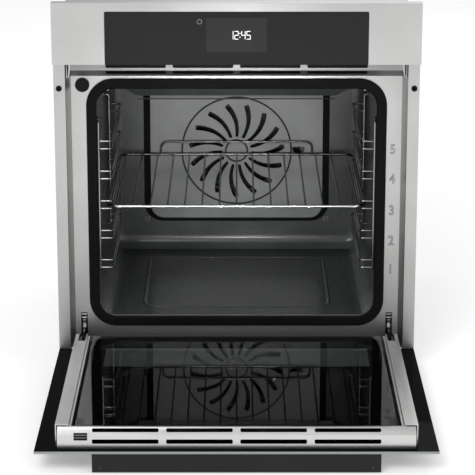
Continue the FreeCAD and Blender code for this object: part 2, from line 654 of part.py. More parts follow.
def casing():
    tray = [block("tray_floor", (-277, -1, 0), (277, 545, "sheet")),
            block("tray_rear", (-277, 544, 0), (277, 545, 15)),
            block("tray_front", (-248, 19, 0), (248, 20, "flatLow + 3"))]
    supports = [block(f"tray_support_{index}", (-240, deep, 0.5), (240, "%s + 1" % deep, 33))
                for index, deep in enumerate((80, 240, 400))]
    subPart(fuse("base_tray", *tray, *supports))
    for side in (-1, 1):
        name = sideNames[side]
        skin = sorted((side * 277, side * 278))
        lip = sorted((side * 263.5, side * 277.5))
        panel = block(f"side_skin_{name}", (skin[0], 19, "sheet"), (skin[1], 545, 588))
        front = block(f"side_lip_{name}", (lip[0], 19, 75), (lip[1], 20, "flatTop - 1"))
        subPart(fuse(f"side_panel_{name}", panel, front))
    screwSpots = [(side, deep) for side in (-255, 255) for deep in (60, 300, 520)]
    cover = block("cover_plate", (-278, 0, 588), (278, 546, "bodyTop"))
    lip = block("cover_front_lip", (-262, 0, 575), (262, 1, 588.5))
    holes = [rod(f"cover_hole_{index}", "Z", (side, deep, 580), 2.1, 20)
             for index, (side, deep) in enumerate(screwSpots)]
    subPart(cut("top_cover", fuse("cover_sheet", cover, lip), *holes))
    screws = []
    for index, (side, deep) in enumerate(screwSpots):
        head = rod(f"casing_screw_head_{index}", "Z", (side, deep, "bodyTop"), 4.2, 2.2)
        shank = rod(f"casing_screw_shank_{index}", "Z", (side, deep, 576), 2, 14)
        screws.append(fuse(f"casing_screw_{index}", head, shank))
    subPart(group("casing_screws", *screws))
    subPart(block("deck_plate", (-277, 20, "deckLow"), (277, 545, "deckLow + sheet")))


def rearPanel():
    owner = roundedPrism("rear_skin", "XZ", (-277, "sheet"), (277, 588), 4, 545, "bodyBack")
    vent = pierce(owner, "rear_vent", "XZ", (-180, 520), (-174, 570), 2.5, 540, 550)
    row = owner.newObject("PartDesign::LinearPattern", "rear_vents")
    row.Originals = [vent]
    row.Direction = (vent.Profile[0], ["H_Axis"])
    row.Length = 216
    row.Occurrences = 13
    owner.Tip = row
    glandHole = rod("gland_hole", "Y", (205, 540, 515), 10, 20)
    subPart(cut("rear_panel", owner, glandHole))
    collar = rod("gland_collar", "Y", (205, 541, 515), 13, 4)
    neck = rod("gland_neck", "Y", (205, 530, 515), 10, 16)
    throat = rod("gland_throat", "Y", (205, 520, 515), 4.5, 40)
    subPart(cut("cable_gland", fuse("gland_body", collar, neck), throat))
    terminals = block("terminal_body", (150, 520, 546), (230, 545, 572))
    wells = [rod(f"terminal_well_{index}", "Y", (162 + 14 * index, 515, 559), 4, 15) for index in range(5)]
    subPart(cut("terminal_block", terminals, *wells))


# Cooling fan over the cavity

def coolingFan():
    low = "deckLow + sheet"
    centre = (0, "blowerDeep", "blowerRise")
    outer = block("scroll_outer", ("-blowerSide - 4", 398, low), ("blowerSide + 4", 486, 578))
    drum = rod("scroll_drum", "X", ("-blowerSide", "blowerDeep", "blowerRise"), "blowerRadius + 4",
               "2 * blowerSide")
    outlet = block("scroll_outlet", ("-blowerSide", 390, "deckLow + 5"), ("blowerSide", "blowerDeep", 516))
    inlet = block("scroll_inlet", ("-blowerSide", "blowerDeep", 540), ("blowerSide", 500, 562))
    bore = rod("scroll_bore", "X", (-150, "blowerDeep", "blowerRise"), "shaftRadius + running", 300)
    subPart(cut("blower_housing", outer, drum, outlet, inlet, bore))

    owner = doc.addObject("PartDesign::Body", "blower_vanes")
    ringOfBoxes(owner, "blower_vane", "YZ", "-blowerSide + 4", ("blowerDeep - 0.5", "blowerRise + 23"),
                ("blowerDeep + 0.5", "blowerRise + blowerRadius"), "2 * blowerSide - 8", "vaneCount",
                ("blowerDeep", "blowerRise"))
    discs = [rod(f"blower_disc_{index}", "X", (start, *centre[1:]), "blowerRadius", 1.5)
             for index, start in enumerate(("-blowerSide + 3", -0.75, "blowerSide - 4.5"))]
    shaft = rod("blower_shaft", "X", ("-blowerSide - 3.5", *centre[1:]), "shaftRadius", "2 * blowerSide + 30")
    subPart(fuse("blower_wheel", owner, *discs, shaft))

    can = rod("blower_motor_can", "X", ("blowerSide + 4", *centre[1:]), 27, 38)
    foot = block("blower_motor_foot", ("blowerSide + 4", 420, low), ("blowerSide + 20", 460, "blowerRise"))
    motorBore = rod("blower_motor_bore", "X", ("blowerSide", *centre[1:]), "shaftRadius + running", 36)
    subPart(cut("blower_motor", fuse("blower_motor_body", can, foot), motorBore))

    ductOuter = block("duct_outer", (-190, 41, low), (190, 397, 520))
    ductHollow = block("duct_hollow", (-189, 30, "deckLow + 2 * sheet"), (189, 410, 519))
    subPart(cut("air_duct", ductOuter, ductHollow))
    board = block("board_plate", (-250, 300, "deckLow + 7"), (-200, 480, "deckLow + 8.6"))
    legs = [rod(f"board_leg_{index}", "Z", (-225, deep, low), 3, 6.5)
            for index, deep in enumerate((310, 470))]
    relays = [block(f"board_relay_{index}", (-240, deep, "deckLow + 8"), (-215, f"{deep} + 18", "deckLow + 26"))
              for index, deep in enumerate((320, 350, 380, 420))]
    subPart(fuse("power_board", board, *legs, *relays))


# Hinges

def hinges():
    receivers = []
    arms = []
    pins = []
    cases = []
    for side in (-1, 1):
        name = sideNames[side]

        def span(near, far):
            return sorted((f"{side} * {near}", f"{side} * {far}"), key=amountOf)

        wide = span(250, 262)
        gap = span(251.5, 260.5)
        shell = block(f"receiver_shell_{name}", (wide[0], "flatDeep + sheet", 26), (wide[1], 60, 67))
        hollow = block(f"receiver_hollow_{name}", (gap[0], 10, 28), (gap[1], 58.5, 65.5))
        receivers.append(cut(f"receiver_{name}", shell, hollow))
        blade = span(254.5, 257.5)
        tongue = block(f"arm_tongue_{name}", (blade[0], "pivotDeep", 28), (blade[1], 58.5, 36))
        eye = rod(f"arm_eye_{name}", "X", (blade[0], "pivotDeep", "pivotRise"), 9, 3)
        neck = block(f"arm_neck_{name}", (blade[0], "pivotDeep - 8", "pivotRise"),
                     (blade[1], "pivotDeep + 8", 31))
        heel = block(f"arm_heel_{name}", (blade[0], 40, 28), (blade[1], 58.5, 60))
        eyeBore = rod(f"arm_bore_{name}", "X", (f"{blade[0]} - 5", "pivotDeep", "pivotRise"), "pinRadius", 20)
        arms.append(cut(f"arm_{name}", fuse(f"arm_body_{name}", tongue, eye, neck, heel), eyeBore))
        ends = span(249.2, 262.8)
        shaft = rod(f"pin_shaft_{name}", "X", (ends[0], "pivotDeep", "pivotRise"), "pinRadius", 13.6)
        heads = [rod(f"pin_head_{index}_{name}", "X",
                     (span(start, start + 1.2)[0], "pivotDeep", "pivotRise"), 4.6, 1.2)
                 for index, start in enumerate((249.2, 261.6))]
        pins.append(fuse(f"pin_{name}", shaft, *heads))
        cheeks = []
        for index, (near, far) in enumerate(((250.8, 253.8), (258.2, 261.2))):
            plate = span(near, far)
            cheeks.append(block(f"case_cheek_{index}_{name}",
                                (plate[0], -130, 8), (plate[1], "pivotDeep", 29)))
            cheeks.append(rod(f"case_eye_{index}_{name}", "X",
                              (plate[0], "pivotDeep", "pivotRise"), 9, 3))
        web = span(250.8, 261.2)
        cheeks.append(block(f"case_web_{name}", (web[0], -130, 8), (web[1], -24, 10)))
        pinHole = rod(f"case_bore_{name}", "X", (f"{web[0]} - 2", "pivotDeep", "pivotRise"),
                      "pinRadius + running", 20)
        heelTrim = block(f"case_trim_{name}", (f"{web[0]} - 1", "pivotDeep - 9", 0),
                         (f"{web[1]} + 1", "pivotDeep + 1", 11))
        bodyOf = cut(f"case_cheeks_{name}", fuse(f"case_body_{name}", *cheeks), heelTrim)
        cases.append(cut(f"case_{name}", bodyOf, pinHole))
    subPart(group("hinge_receivers", *receivers))
    subPart(group("hinge_arms", *arms))
    subPart(group("hinge_pins", *pins))
    subPart(group("hinge_cases", *cases))


# Door, lying open

def doorGlass():
    outer = block("outer_pane", ("-fasciaHalf", "-doorLong", "paneLow"), ("fasciaHalf", -1, "paneTop"))
    holes = [rod(f"outer_hole_{sideNames[side]}", "Z", (side * 190, -455, 0), 3.2, 10) for side in (-1, 1)]
    subPart(cut("outer_glass", outer, *holes))
    subPart(block("middle_glass", ("-middleHalf", "-innerFar", "middleLow"), ("middleHalf", -30, "middleTop")))
    subPart(block("inner_glass", ("-innerHalf", "-innerFar", "innerLow"), ("innerHalf", -24, "innerTop")))
    spacers = []
    for side in (-1, 1):
        across = sorted((side * 226, side * 236))
        for index, deep in enumerate((-435, -60)):
            for level, low, high in (("low", "paneTop", "middleLow"), ("high", "middleTop", "innerLow")):
                spacers.append(block(f"spacer_{sideNames[side]}_{index}_{level}", (across[0], deep, low),
                                     (across[1], deep + 25, high)))
    subPart(group("glass_spacers", *spacers))


def doorFrame():
    for side in (-1, 1):
        name = sideNames[side]
        wide = sorted((f"{side} * profileIn", f"{side} * profileOut"), key=amountOf)
        notch = sorted((side * 250, side * 261.8))
        outer = block(f"profile_outer_{name}", (wide[0], "-profileFar", "paneTop"),
                      (wide[1], "-profileNear", "profileTop"))
        inside = sorted((f"{side} * (profileIn + 5.5)", f"{side} * (profileOut - 1.5)"), key=amountOf)
        hollow = block(f"profile_hollow_{name}", (inside[0], "-profileFar - 1", "paneTop + 2"),
                       (inside[1], 0, "profileTop - 1.5"))
        slot = block(f"profile_slot_{name}", (notch[0], -58, 30), (notch[1], 0, 45))
        # the rebate clears the seal when the door is shut
        step = sorted((f"{side} * (profileIn - 1)", f"{side} * (sealOuter + 1)"), key=amountOf)
        rebate = block(f"profile_rebate_{name}", (step[0], "-profileFar - 1", "profileTop - 3.6"),
                       (step[1], 0, "profileTop + 1"))
        subPart(cut(f"door_side_profile_{name}", outer, hollow, slot, rebate))

    profile = [("-endRailFace", "paneTop"), ("-endRailFace", "endRailFold"), ("-endRailCrest", "endRailTop"),
               ("-profileFar", "endRailTop"), ("-profileFar", "endRailTop - sheet"),
               ("-endRailCrest + 0.4", "endRailTop - sheet"), ("-endRailFace + sheet", "endRailFold - 0.4"),
               ("-endRailFace + sheet", "paneTop")]
    rail = prism("end_rail_sheet", "YZ", profile, "-endRailHalf", "endRailHalf")
    slotRow(rail, "end_rail_lower", 13.5, 20.3, -465, -455)
    slotRow(rail, "end_rail_upper", 30.4, 35, -465, -449)
    insertGap = block("insert_gap", (-239.5, -465, 18.8), (-219.5, -450, 29.6))
    subPart(cut("door_top_rail", rail, insertGap))
    insert = [(-461.4, 18.8), (-461.4, 27.2), (-459.4, 29.6), (-455, 29.6), (-455, 18.8)]
    subPart(prism("latch_insert", "YZ", insert, -239.5, -219.5))

    low = block("foot_outer", (-243.5, -24, "paneTop"), (243.5, -8, 29.5))
    hollow = block("foot_hollow", (-250, -22.5, "paneTop + 1.5"), (250, -9.5, 40))
    subPart(cut("door_bottom_rail", low, hollow))


def handle():
    face = "-doorLong"
    profile = [(face, "paneLow"), (face, "-handleDrop"), (f"{face} + 20", "-handleDrop"),
               (f"{face} + 20", "-handleDrop + 3"), (f"{face} + 3.5", "-handleDrop + 3"),
               (f"{face} + 3.5", -0.6), (f"{face} + handleDeep", -0.6), (f"{face} + handleDeep", "paneLow")]
    bar = prism("handle_bar", "YZ", profile, "-handleHalf + 2", "handleHalf - 2")
    grubHoles = [rod(f"grub_hole_{sideNames[side]}", "Y", (side * 200.3, -480, -19.5), 1.8, 12)
                 for side in (-1, 1)]
    fixHoles = [rod(f"fix_hole_{sideNames[side]}", "Z", (side * 190, -455, -5), 2.5, 10) for side in (-1, 1)]
    subPart(cut("handle_profile", bar, *grubHoles, *fixHoles))
    caps = []
    screws = []
    for side in (-1, 1):
        ends = sorted((f"{side} * (handleHalf - 2)", f"{side} * handleHalf"), key=amountOf)
        caps.append(block(f"cap_{sideNames[side]}", (ends[0], face, "-handleDrop"),
                          (ends[1], f"{face} + handleDeep", "paneLow")))
        screws.append(rod(f"grub_{sideNames[side]}", "Y", (side * 200.3, face, -19.5), 1.8, 3.5))
        shank = rod(f"fixing_shank_{sideNames[side]}", "Z", (side * 190, -455, -0.6), 2.5, 8)
        head = rod(f"fixing_head_{sideNames[side]}", "Z", (side * 190, -455, "paneTop"), 4.5, 3)
        screws.append(fuse(f"fixing_{sideNames[side]}", shank, head))
    subPart(group("handle_end_caps", *caps))
    subPart(group("handle_screws", *screws))


for section in (fasciaPanel, controlGlass, controlCarrier, ventRail, frontFrame, doorGasket,
                frameFittings, cavityLiner, lamp, rearBaffle, fanCover, fanChamber, ringElement,
                convectionFan, fanMotor, heatingElements, racks, wireShelf, insulation, casing,
                rearPanel, coolingFan, hinges, doorGlass, doorFrame, handle):
    section()
doc.recompute()

failed = [item.Label for item in doc.Objects if {"Invalid", "Error"} & set(item.State)]
assert not failed, failed
for solid in subParts:
    assert not solid.Shape.isNull() and solid.Shape.isValid(), solid.Label
    assert all(piece.Volume > 0 for piece in solid.Shape.Solids), solid.Label
for solid in subParts:
    solid.Shape.exportStep(f"parts/{solid.Label}.step")
print(len(subParts), "sub-parts")
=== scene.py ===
import math

import bpy
import bmesh
from mathutils import Matrix, Vector


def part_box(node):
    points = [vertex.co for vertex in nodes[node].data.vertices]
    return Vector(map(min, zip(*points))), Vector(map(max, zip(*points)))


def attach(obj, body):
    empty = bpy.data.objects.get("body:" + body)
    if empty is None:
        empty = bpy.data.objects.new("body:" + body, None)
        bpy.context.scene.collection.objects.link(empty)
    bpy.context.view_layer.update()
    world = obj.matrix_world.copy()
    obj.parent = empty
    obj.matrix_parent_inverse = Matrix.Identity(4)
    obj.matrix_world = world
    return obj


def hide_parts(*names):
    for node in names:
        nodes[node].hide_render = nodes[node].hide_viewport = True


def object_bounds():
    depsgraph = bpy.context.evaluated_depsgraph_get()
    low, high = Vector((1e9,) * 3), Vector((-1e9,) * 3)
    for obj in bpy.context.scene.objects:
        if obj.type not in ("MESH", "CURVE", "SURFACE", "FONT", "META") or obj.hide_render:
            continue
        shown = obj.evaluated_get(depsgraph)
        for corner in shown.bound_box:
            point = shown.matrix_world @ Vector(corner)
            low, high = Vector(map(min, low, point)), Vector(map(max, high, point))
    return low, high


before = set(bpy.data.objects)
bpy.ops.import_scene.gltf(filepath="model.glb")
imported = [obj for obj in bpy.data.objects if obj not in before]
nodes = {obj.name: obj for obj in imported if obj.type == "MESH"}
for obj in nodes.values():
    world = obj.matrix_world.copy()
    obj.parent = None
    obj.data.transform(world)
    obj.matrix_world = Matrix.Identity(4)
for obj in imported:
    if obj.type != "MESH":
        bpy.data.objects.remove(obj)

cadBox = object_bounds()
finishes = {}  # every material by its name

print("stage: materials")


def linear(code):  # a hex colour as Blender's linear light
    parts = [int(code[i:i + 2], 16) / 255 for i in (1, 3, 5)]
    return [p / 12.92 if p <= 0.04045 else ((p + 0.055) / 1.055) ** 2.4 for p in parts] + [1.0]


def addNode(tree, kind, settings={}, links={}):  # a setting is the node's own where it has that name, or a socket's
    node = tree.nodes.new(kind)
    for key, value in settings.items():
        if isinstance(key, str) and hasattr(node, key):
            setattr(node, key, value)
        else:
            node.inputs[key].default_value = value
    for key, socket in links.items():
        tree.links.new(socket, node.inputs[key])
    return node


def makeFinish(name, look):
    # colour and other: the two tones. low and high: how far they mix. grain: the pattern's size in mm along X, Y
    # and Z. cloud: the size in mm of the broad patches. rough: least and most. dent: bump height in mm.
    # Everything under shader goes straight on the shader's sockets.
    material = bpy.data.materials.new(name)
    material.use_nodes = True
    tree = material.node_tree
    tree.nodes.clear()
    place = addNode(tree, "ShaderNodeTexCoord")
    fine = addNode(tree, "ShaderNodeMapping", {"Scale": [1000 / g for g in look["grain"]]},
                   {"Vector": place.outputs["Object"]})
    grain = addNode(tree, "ShaderNodeTexNoise", {"Scale": 1.0, "Detail": look.get("detail", 3.0), "Roughness": 0.6},
                    {"Vector": fine.outputs[0]})
    cloud = addNode(tree, "ShaderNodeTexNoise", {"Scale": 1000 / look.get("cloud", 90), "Detail": 2.0},
                    {"Vector": place.outputs["Object"]})
    blendTone = addNode(tree, "ShaderNodeMath", {"operation": "MULTIPLY_ADD", 1: 0.65},
                        {0: grain.outputs["Fac"], 2: cloud.outputs["Fac"]})
    tone = addNode(tree, "ShaderNodeMapRange", {1: look.get("low", 0.6), 2: look.get("high", 1.05)},
                   {0: blendTone.outputs[0]})
    paint = addNode(tree, "ShaderNodeMix",
                    {"data_type": "RGBA", 6: linear(look["colour"]), 7: linear(look["other"])},
                    {0: tone.outputs[0]})
    gloss = addNode(tree, "ShaderNodeMapRange", {1: 0.3, 2: 0.7, 3: look["rough"][0], 4: look["rough"][1]},
                    {0: grain.outputs["Fac"]})
    bump = addNode(tree, "ShaderNodeBump", {"Strength": look.get("press", 0.5), "Distance": look["dent"] / 1000},
                   {"Height": grain.outputs["Fac"]})
    shader = addNode(tree, "ShaderNodeBsdfPrincipled", look.get("shader", {}),
                     {"Base Color": paint.outputs[2], "Roughness": gloss.outputs[0], "Normal": bump.outputs[0]})
    addNode(tree, "ShaderNodeOutputMaterial", {}, {0: shader.outputs[0]})
    finishes[name] = material
    return material


looks = {
    "brushedSteel": {  # stainless steel of the fascia, brushed along its length
        "colour": "#c5c5c4", "other": "#bbbbba", "grain": (60, 0.5, 0.35), "rough": (0.3, 0.4), "dent": 0.006,
        "shader": {"Metallic": 1.0, "Anisotropic": 0.35}},
    "railSteel": {  # stainless steel of the vent rail, matt from its pressing
        "colour": "#a4a4a3", "other": "#9b9b9a", "grain": (40, 0.6, 0.6), "rough": (0.44, 0.52), "dent": 0.004,
        "shader": {"Metallic": 1.0}},
    "formedSteel": {  # stainless steel of the front frame, a fine matt rolled face
        "colour": "#bfbfbe", "other": "#b5b5b4", "grain": (1.2, 1.2, 1.2), "rough": (0.3, 0.38), "dent": 0.004,
        "shader": {"Metallic": 1.0}},
    "doorSteel": {  # brighter stainless steel of the door's inner trim, brushed along Y
        "colour": "#cdcdcc", "other": "#c7c7c6", "grain": (0.5, 60, 0.5), "rough": (0.27, 0.32), "dent": 0.003,
        "shader": {"Metallic": 1.0, "Anisotropic": 0.3}},
    "panelGlass": {  # black glass of the control panel
        "colour": "#161616", "other": "#191919", "grain": (40, 40, 40), "rough": (0.05, 0.08), "dent": 0.001,
        "shader": {"Specular IOR Level": 0.22}},
    "displayWindow": {  # grey smoked window over the clock
        "colour": "#272727", "other": "#292929", "grain": (20, 20, 20), "rough": (0.1, 0.16), "dent": 0.001,
        "shader": {"Specular IOR Level": 0.2}},
    "litDigits": {  # white light of the clock's digits
        "colour": "#f4f4f2", "other": "#eeeeec", "grain": (3, 3, 3), "rough": (0.3, 0.4), "dent": 0.001,
        "shader": {"Emission Color": linear("#f4f4f2"), "Emission Strength": 0.7}},
    "printedRing": {  # pale grey print under the panel glass
        "colour": "#8f8f8f", "other": "#858585", "grain": (2, 2, 2), "rough": (0.2, 0.3), "dent": 0.001},
    "blackPlastic": {  # moulded nylon of caps, connectors and the latch insert
        "colour": "#0d0d0d", "other": "#121212", "grain": (0.5, 0.5, 0.5), "rough": (0.4, 0.55), "dent": 0.02,
        "shader": {"Specular IOR Level": 0.12}},
    "greyPlastic": {  # paler moulded ridges
        "colour": "#6f6f6f", "other": "#666666", "grain": (0.5, 0.5, 0.5), "rough": (0.4, 0.5), "dent": 0.02},
    "handleMetal": {  # dark anodised aluminium of the handle
        "colour": "#161616", "other": "#121212", "grain": (80, 0.4, 0.4), "rough": (0.3, 0.4), "dent": 0.004,
        "shader": {"Specular IOR Level": 0.25}},
    "sealRubber": {  # woven glass-fibre and silicone seal of the door
        "colour": "#090909", "other": "#0e0e0e", "grain": (0.8, 0.8, 0.8), "rough": (0.5, 0.7), "dent": 0.05,
        "shader": {"Specular IOR Level": 0.08}},
    "enamel": {  # dark vitreous enamel of the cavity, with fine pale specks
        "colour": "#4f5251", "other": "#5e6160", "grain": (0.9, 0.9, 0.9), "rough": (0.2, 0.32), "dent": 0.03,
        "low": 0.72, "high": 0.98, "detail": 5.0, "shader": {"Coat Weight": 0.2, "Coat Roughness": 0.12}},
    "paintedLitEnamel": {  # the same enamel on the fan cover and the baffle, painted paler where it faces the door as painted light
        "colour": "#8f9290", "other": "#9ea19f", "grain": (0.9, 0.9, 0.9), "rough": (0.24, 0.36), "dent": 0.02,
        "low": 0.72, "high": 0.98, "detail": 5.0, "shader": {"Coat Weight": 0.3, "Coat Roughness": 0.15}},
    "paintedShadeEnamel": {  # enamel painted dark as painted shade, down in the pressed channels
        "colour": "#1d201f", "other": "#262928", "grain": (0.9, 0.9, 0.9), "rough": (0.3, 0.45), "dent": 0.02,
        "shader": {"Specular IOR Level": 0.25}},
    "chromeWire": {  # chromed wire of the racks and the shelf
        "colour": "#a3a4a4", "other": "#8f9090", "grain": (6, 6, 6), "rough": (0.1, 0.18), "dent": 0.002,
        "shader": {"Metallic": 1.0}},
    "shelfWire": {  # the shelf's wire, painted darker as painted shade of the dark cavity it reflects, behind its front bar
        "colour": "#6c6d6c", "other": "#5c5d5c", "grain": (6, 6, 6), "rough": (0.16, 0.26), "dent": 0.003,
        "shader": {"Metallic": 1.0}},
    "paintedShadeSteel": {  # the frame's steel where the level numbers are struck, painted dark on the raised lines as painted shade of the struck outlines
        "colour": "#6f6f6e", "other": "#666665", "grain": (0.6, 0.6, 0.6), "rough": (0.35, 0.45), "dent": 0.004,
        "shader": {"Metallic": 1.0}},
    "shieldSteel": {  # aluminised deflector between the door's panes
        "colour": "#dcdddd", "other": "#d2d3d3", "grain": (60, 0.6, 0.6), "rough": (0.45, 0.55), "dent": 0.004,
        "shader": {"Metallic": 0.3}},
    "screwSteel": {  # zinc-plated steel of the screws
        "colour": "#b9bab7", "other": "#a6a7a3", "grain": (1, 1, 1), "rough": (0.3, 0.42), "dent": 0.005,
        "shader": {"Metallic": 1.0}},
    "elementSteel": {  # heat-coloured sheath of the heating elements
        "colour": "#4a4540", "other": "#5d5650", "grain": (5, 5, 5), "rough": (0.45, 0.6), "dent": 0.01,
        "shader": {"Metallic": 0.8}},
    "fanSteel": {  # dulled steel of the convection fan
        "colour": "#262726", "other": "#1e1f1e", "grain": (3, 3, 3), "rough": (0.35, 0.5), "dent": 0.01,
        "shader": {"Metallic": 1.0}},
    "zincSteel": {  # zinc-coated sheet of the casing, with a faint spangle
        "colour": "#b9bbbc", "other": "#aeb1b2", "grain": (3, 3, 5), "rough": (0.3, 0.4), "dent": 0.004,
        "detail": 4.0, "cloud": 260, "shader": {"Metallic": 1.0}},
    "hingeSteel": {  # oiled dark steel of the hinges
        "colour": "#4d4d4c", "other": "#3f3f3e", "grain": (1.5, 1.5, 1.5), "rough": (0.32, 0.45), "dent": 0.006,
        "shader": {"Metallic": 1.0}},
    "ratingPlate": {  # blank matt foil plate at the back
        "colour": "#d8d8d6", "other": "#cfcfcd", "grain": (1, 1, 1), "rough": (0.45, 0.6), "dent": 0.002,
        "shader": {"Metallic": 0.5}},
    "blowerBlades": {  # grey moulded blades of the cooling fan
        "colour": "#3a3b3c", "other": "#444546", "grain": (0.6, 0.6, 0.6), "rough": (0.4, 0.5), "dent": 0.02},
    "blackGlass": {  # outer glass of the door, printed black on its inner face
        "colour": "#080808", "other": "#0a0a0a", "grain": (60, 60, 60), "rough": (0.02, 0.04), "dent": 0.0005,
        "shader": {"Specular IOR Level": 0.004}},
    "frontGlass": {  # polished outer face of the door's black glass
        "colour": "#070707", "other": "#090909", "grain": (60, 60, 60), "rough": (0.02, 0.05), "dent": 0.0005,
        "shader": {"Specular IOR Level": 0.5}},
    "smokedGlass": {  # low-emission coated inner panes of the door, with the IOR lowered so they reflect dimly
        "colour": "#9ca09e", "other": "#9ea2a0", "grain": (200, 200, 200), "rough": (0.0, 0.004), "dent": 0.0,
        "press": 0.0, "shader": {"Transmission Weight": 1.0, "IOR": 1.28}},
    "lampGlass": {  # clear pressed glass of the lamp cover
        "colour": "#e9ecec", "other": "#dde1e1", "grain": (4, 4, 4), "rough": (0.04, 0.1), "dent": 0.1,
        "shader": {"Transmission Weight": 0.9}},
    "ceramic": {  # glazed white ceramic of the lamp and element holders
        "colour": "#e4e2da", "other": "#d8d5cb", "grain": (2, 2, 2), "rough": (0.3, 0.45), "dent": 0.02},
    "glassWool": {  # pale yellow glass-fibre blanket
        "colour": "#d9cf9c", "other": "#c2b67d", "grain": (7, 7, 1.2), "rough": (0.85, 1.0), "dent": 1.2,
        "press": 0.9},
    "circuitBoard": {  # green resin board
        "colour": "#1f4a2f", "other": "#275a3a", "grain": (1.5, 1.5, 1.5), "rough": (0.35, 0.5), "dent": 0.02},
}
for name, look in looks.items():
    makeFinish(name, look)


def tintWhere(name, axis, test, limit, code):  # repaints a finish where a coordinate passes a limit in metres
    tree = finishes[name].node_tree
    place = next(n for n in tree.nodes if n.bl_idname == "ShaderNodeTexCoord")
    shader = next(n for n in tree.nodes if n.bl_idname == "ShaderNodeBsdfPrincipled")
    before = shader.inputs["Base Color"].links[0].from_socket
    spot = addNode(tree, "ShaderNodeSeparateXYZ", {}, {0: place.outputs["Object"]})
    passed = addNode(tree, "ShaderNodeMath", {"operation": test, 1: limit}, {0: spot.outputs[axis]})
    tint = addNode(tree, "ShaderNodeMix", {"data_type": "RGBA", 7: linear(code)}, {0: passed.outputs[0], 6: before})
    tree.links.new(tint.outputs[2], shader.inputs["Base Color"])


tintWhere("blackGlass", "Y", "LESS_THAN", -0.4734, "#8e9391")  # the pane's ground front edge
tintWhere("shelfWire", "Y", "LESS_THAN", 0.042, "#d6d7d7")  # painted reflection: the front bar painted brighter
tintWhere("enamel", "Z", "LESS_THAN", 0.0612, "#343736")  # painted shade: the floor painted darker

worn = {
    "brushedSteel": ["fascia_panel"],
    "railSteel": ["vent_rail"],
    "formedSteel": ["front_frame", "control_carrier"],
    "doorSteel": ["door_side_profile_left", "door_side_profile_right", "door_top_rail", "door_bottom_rail"],
    "panelGlass": ["control_glass"],
    "displayWindow": ["display_module"],
    "blackPlastic": ["frame_plug", "frame_screw_bushes", "latch_insert", "cable_gland", "terminal_block",
                     "glass_spacers", "blower_housing"],
    "handleMetal": ["handle_profile", "handle_end_caps"],
    "sealRubber": ["door_gasket"],
    "enamel": ["cavity_liner", "rear_baffle"],
    # painted shade: the fan chamber takes the enamel painted dark
    "paintedShadeEnamel": ["fan_chamber"],
    "paintedLitEnamel": ["fan_cover"],
    "chromeWire": ["rack_left", "rack_right", "rack_studs", "temperature_probe"],
    "shelfWire": ["wire_shelf"],
    "paintedShadeSteel": ["fan_cover_screws"],
    "screwSteel": ["casing_screws", "fan_nut", "fan_shaft", "hinge_pins"],
    "elementSteel": ["grill_element", "bottom_element", "ring_element"],
    "fanSteel": ["convection_fan"],
    "zincSteel": ["base_tray", "side_panel_left", "side_panel_right", "top_cover", "deck_plate", "rear_panel",
                  "air_duct", "fan_motor", "blower_motor"],
    "hingeSteel": ["hinge_receivers", "hinge_arms", "hinge_cases", "handle_screws"],
    "blowerBlades": ["blower_wheel"],
    "blackGlass": ["outer_glass"],
    "smokedGlass": ["middle_glass", "inner_glass"],
    "lampGlass": ["lamp_glass", "lamp_bulb"],
    "ceramic": ["lamp_socket"],
    "glassWool": ["insulation_blanket"],
    "circuitBoard": ["power_board"],
}
for name, labels in worn.items():
    for label in labels:
        node = nodes[label]
        node.data.materials.clear()
        node.data.materials.append(finishes[name])

print("stage: soft edges on sheet and moulded parts")
edgeBreak = {  # radius in mm that the real edges are broken to
    "fascia_panel": 0.6, "control_glass": 0.4, "vent_rail": 0.3, "door_top_rail": 0.4,
    "door_side_profile_left": 0.4, "door_side_profile_right": 0.4, "door_bottom_rail": 0.4, "outer_glass": 0.5,
    "inner_glass": 0.4, "handle_profile": 0.6, "handle_end_caps": 0.4, "rear_baffle": 0.5,
    "top_cover": 0.3, "rear_panel": 0.3, "side_panel_left": 0.3, "side_panel_right": 0.3, "base_tray": 0.3,
    "latch_insert": 0.3, "frame_plug": 0.4}
for label, radius in edgeBreak.items():
    node = nodes[label]
    edge = node.modifiers.new("brokenEdge", "BEVEL")
    edge.width = radius / 1000
    edge.segments = 2
    edge.limit_method = "ANGLE"
    edge.angle_limit = math.radians(40)
    edge.harden_normals = True
    edge.use_clamp_overlap = True


def keep(name, mesh, body, finish):  # a finished mesh becomes a piece that rides on a body
    piece = bpy.data.objects.new(name, mesh)
    bpy.context.scene.collection.objects.link(piece)
    mesh.materials.append(finishes[finish])
    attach(piece, body)
    return piece


def meshOf(form, name):
    bmesh.ops.recalc_face_normals(form, faces=form.faces)
    mesh = bpy.data.meshes.new(name)
    form.to_mesh(mesh)
    form.free()
    return mesh


def box2(left, right, low, high):  # a rectangle's four corners
    return [(left, low), (right, low), (right, high), (left, high)]


def addSlab(form, outline, low, high, across, bevel=0.0):
    # a flat outline in mm, given on the two axes left after across, drawn out from low to high along across
    order = {"x": (1, 2, 0), "y": (0, 2, 1), "z": (0, 1, 2)}[across]
    corners = []
    for point in outline:
        spot = [0, 0, 0]
        spot[order[0]], spot[order[1]], spot[order[2]] = point[0] / 1000, point[1] / 1000, low / 1000
        corners.append(form.verts.new(spot))
    face = form.faces.new(corners)
    grown = bmesh.ops.extrude_face_region(form, geom=[face])["geom"]
    step = [0, 0, 0]
    step[order[2]] = (high - low) / 1000
    tops = [g for g in grown if isinstance(g, bmesh.types.BMVert)]
    bmesh.ops.translate(form, verts=tops, vec=step)
    if bevel:
        edges = set()
        for vert in tops + corners:
            edges.update(vert.link_edges)
        bmesh.ops.bevel(form, geom=list(edges), offset=bevel / 1000, offset_type="OFFSET", segments=2,
                        affect="EDGES", profile=0.5, material=-1, clamp_overlap=True)


print("stage: clock digits and power ring")
clock = {"left": -11.6, "right": 23.4, "low": 535.4, "high": 549.0, "stroke": 0.9, "proud": 0.25, "sunk": 0.1,
         "reading": "1245", "steps": 4.25, "gap": 0.35, "fill": 0.78,  # the last three are in digit widths
         "dotPlace": 2.06, "dotInset": 3.6, "dotHalf": 0.7}


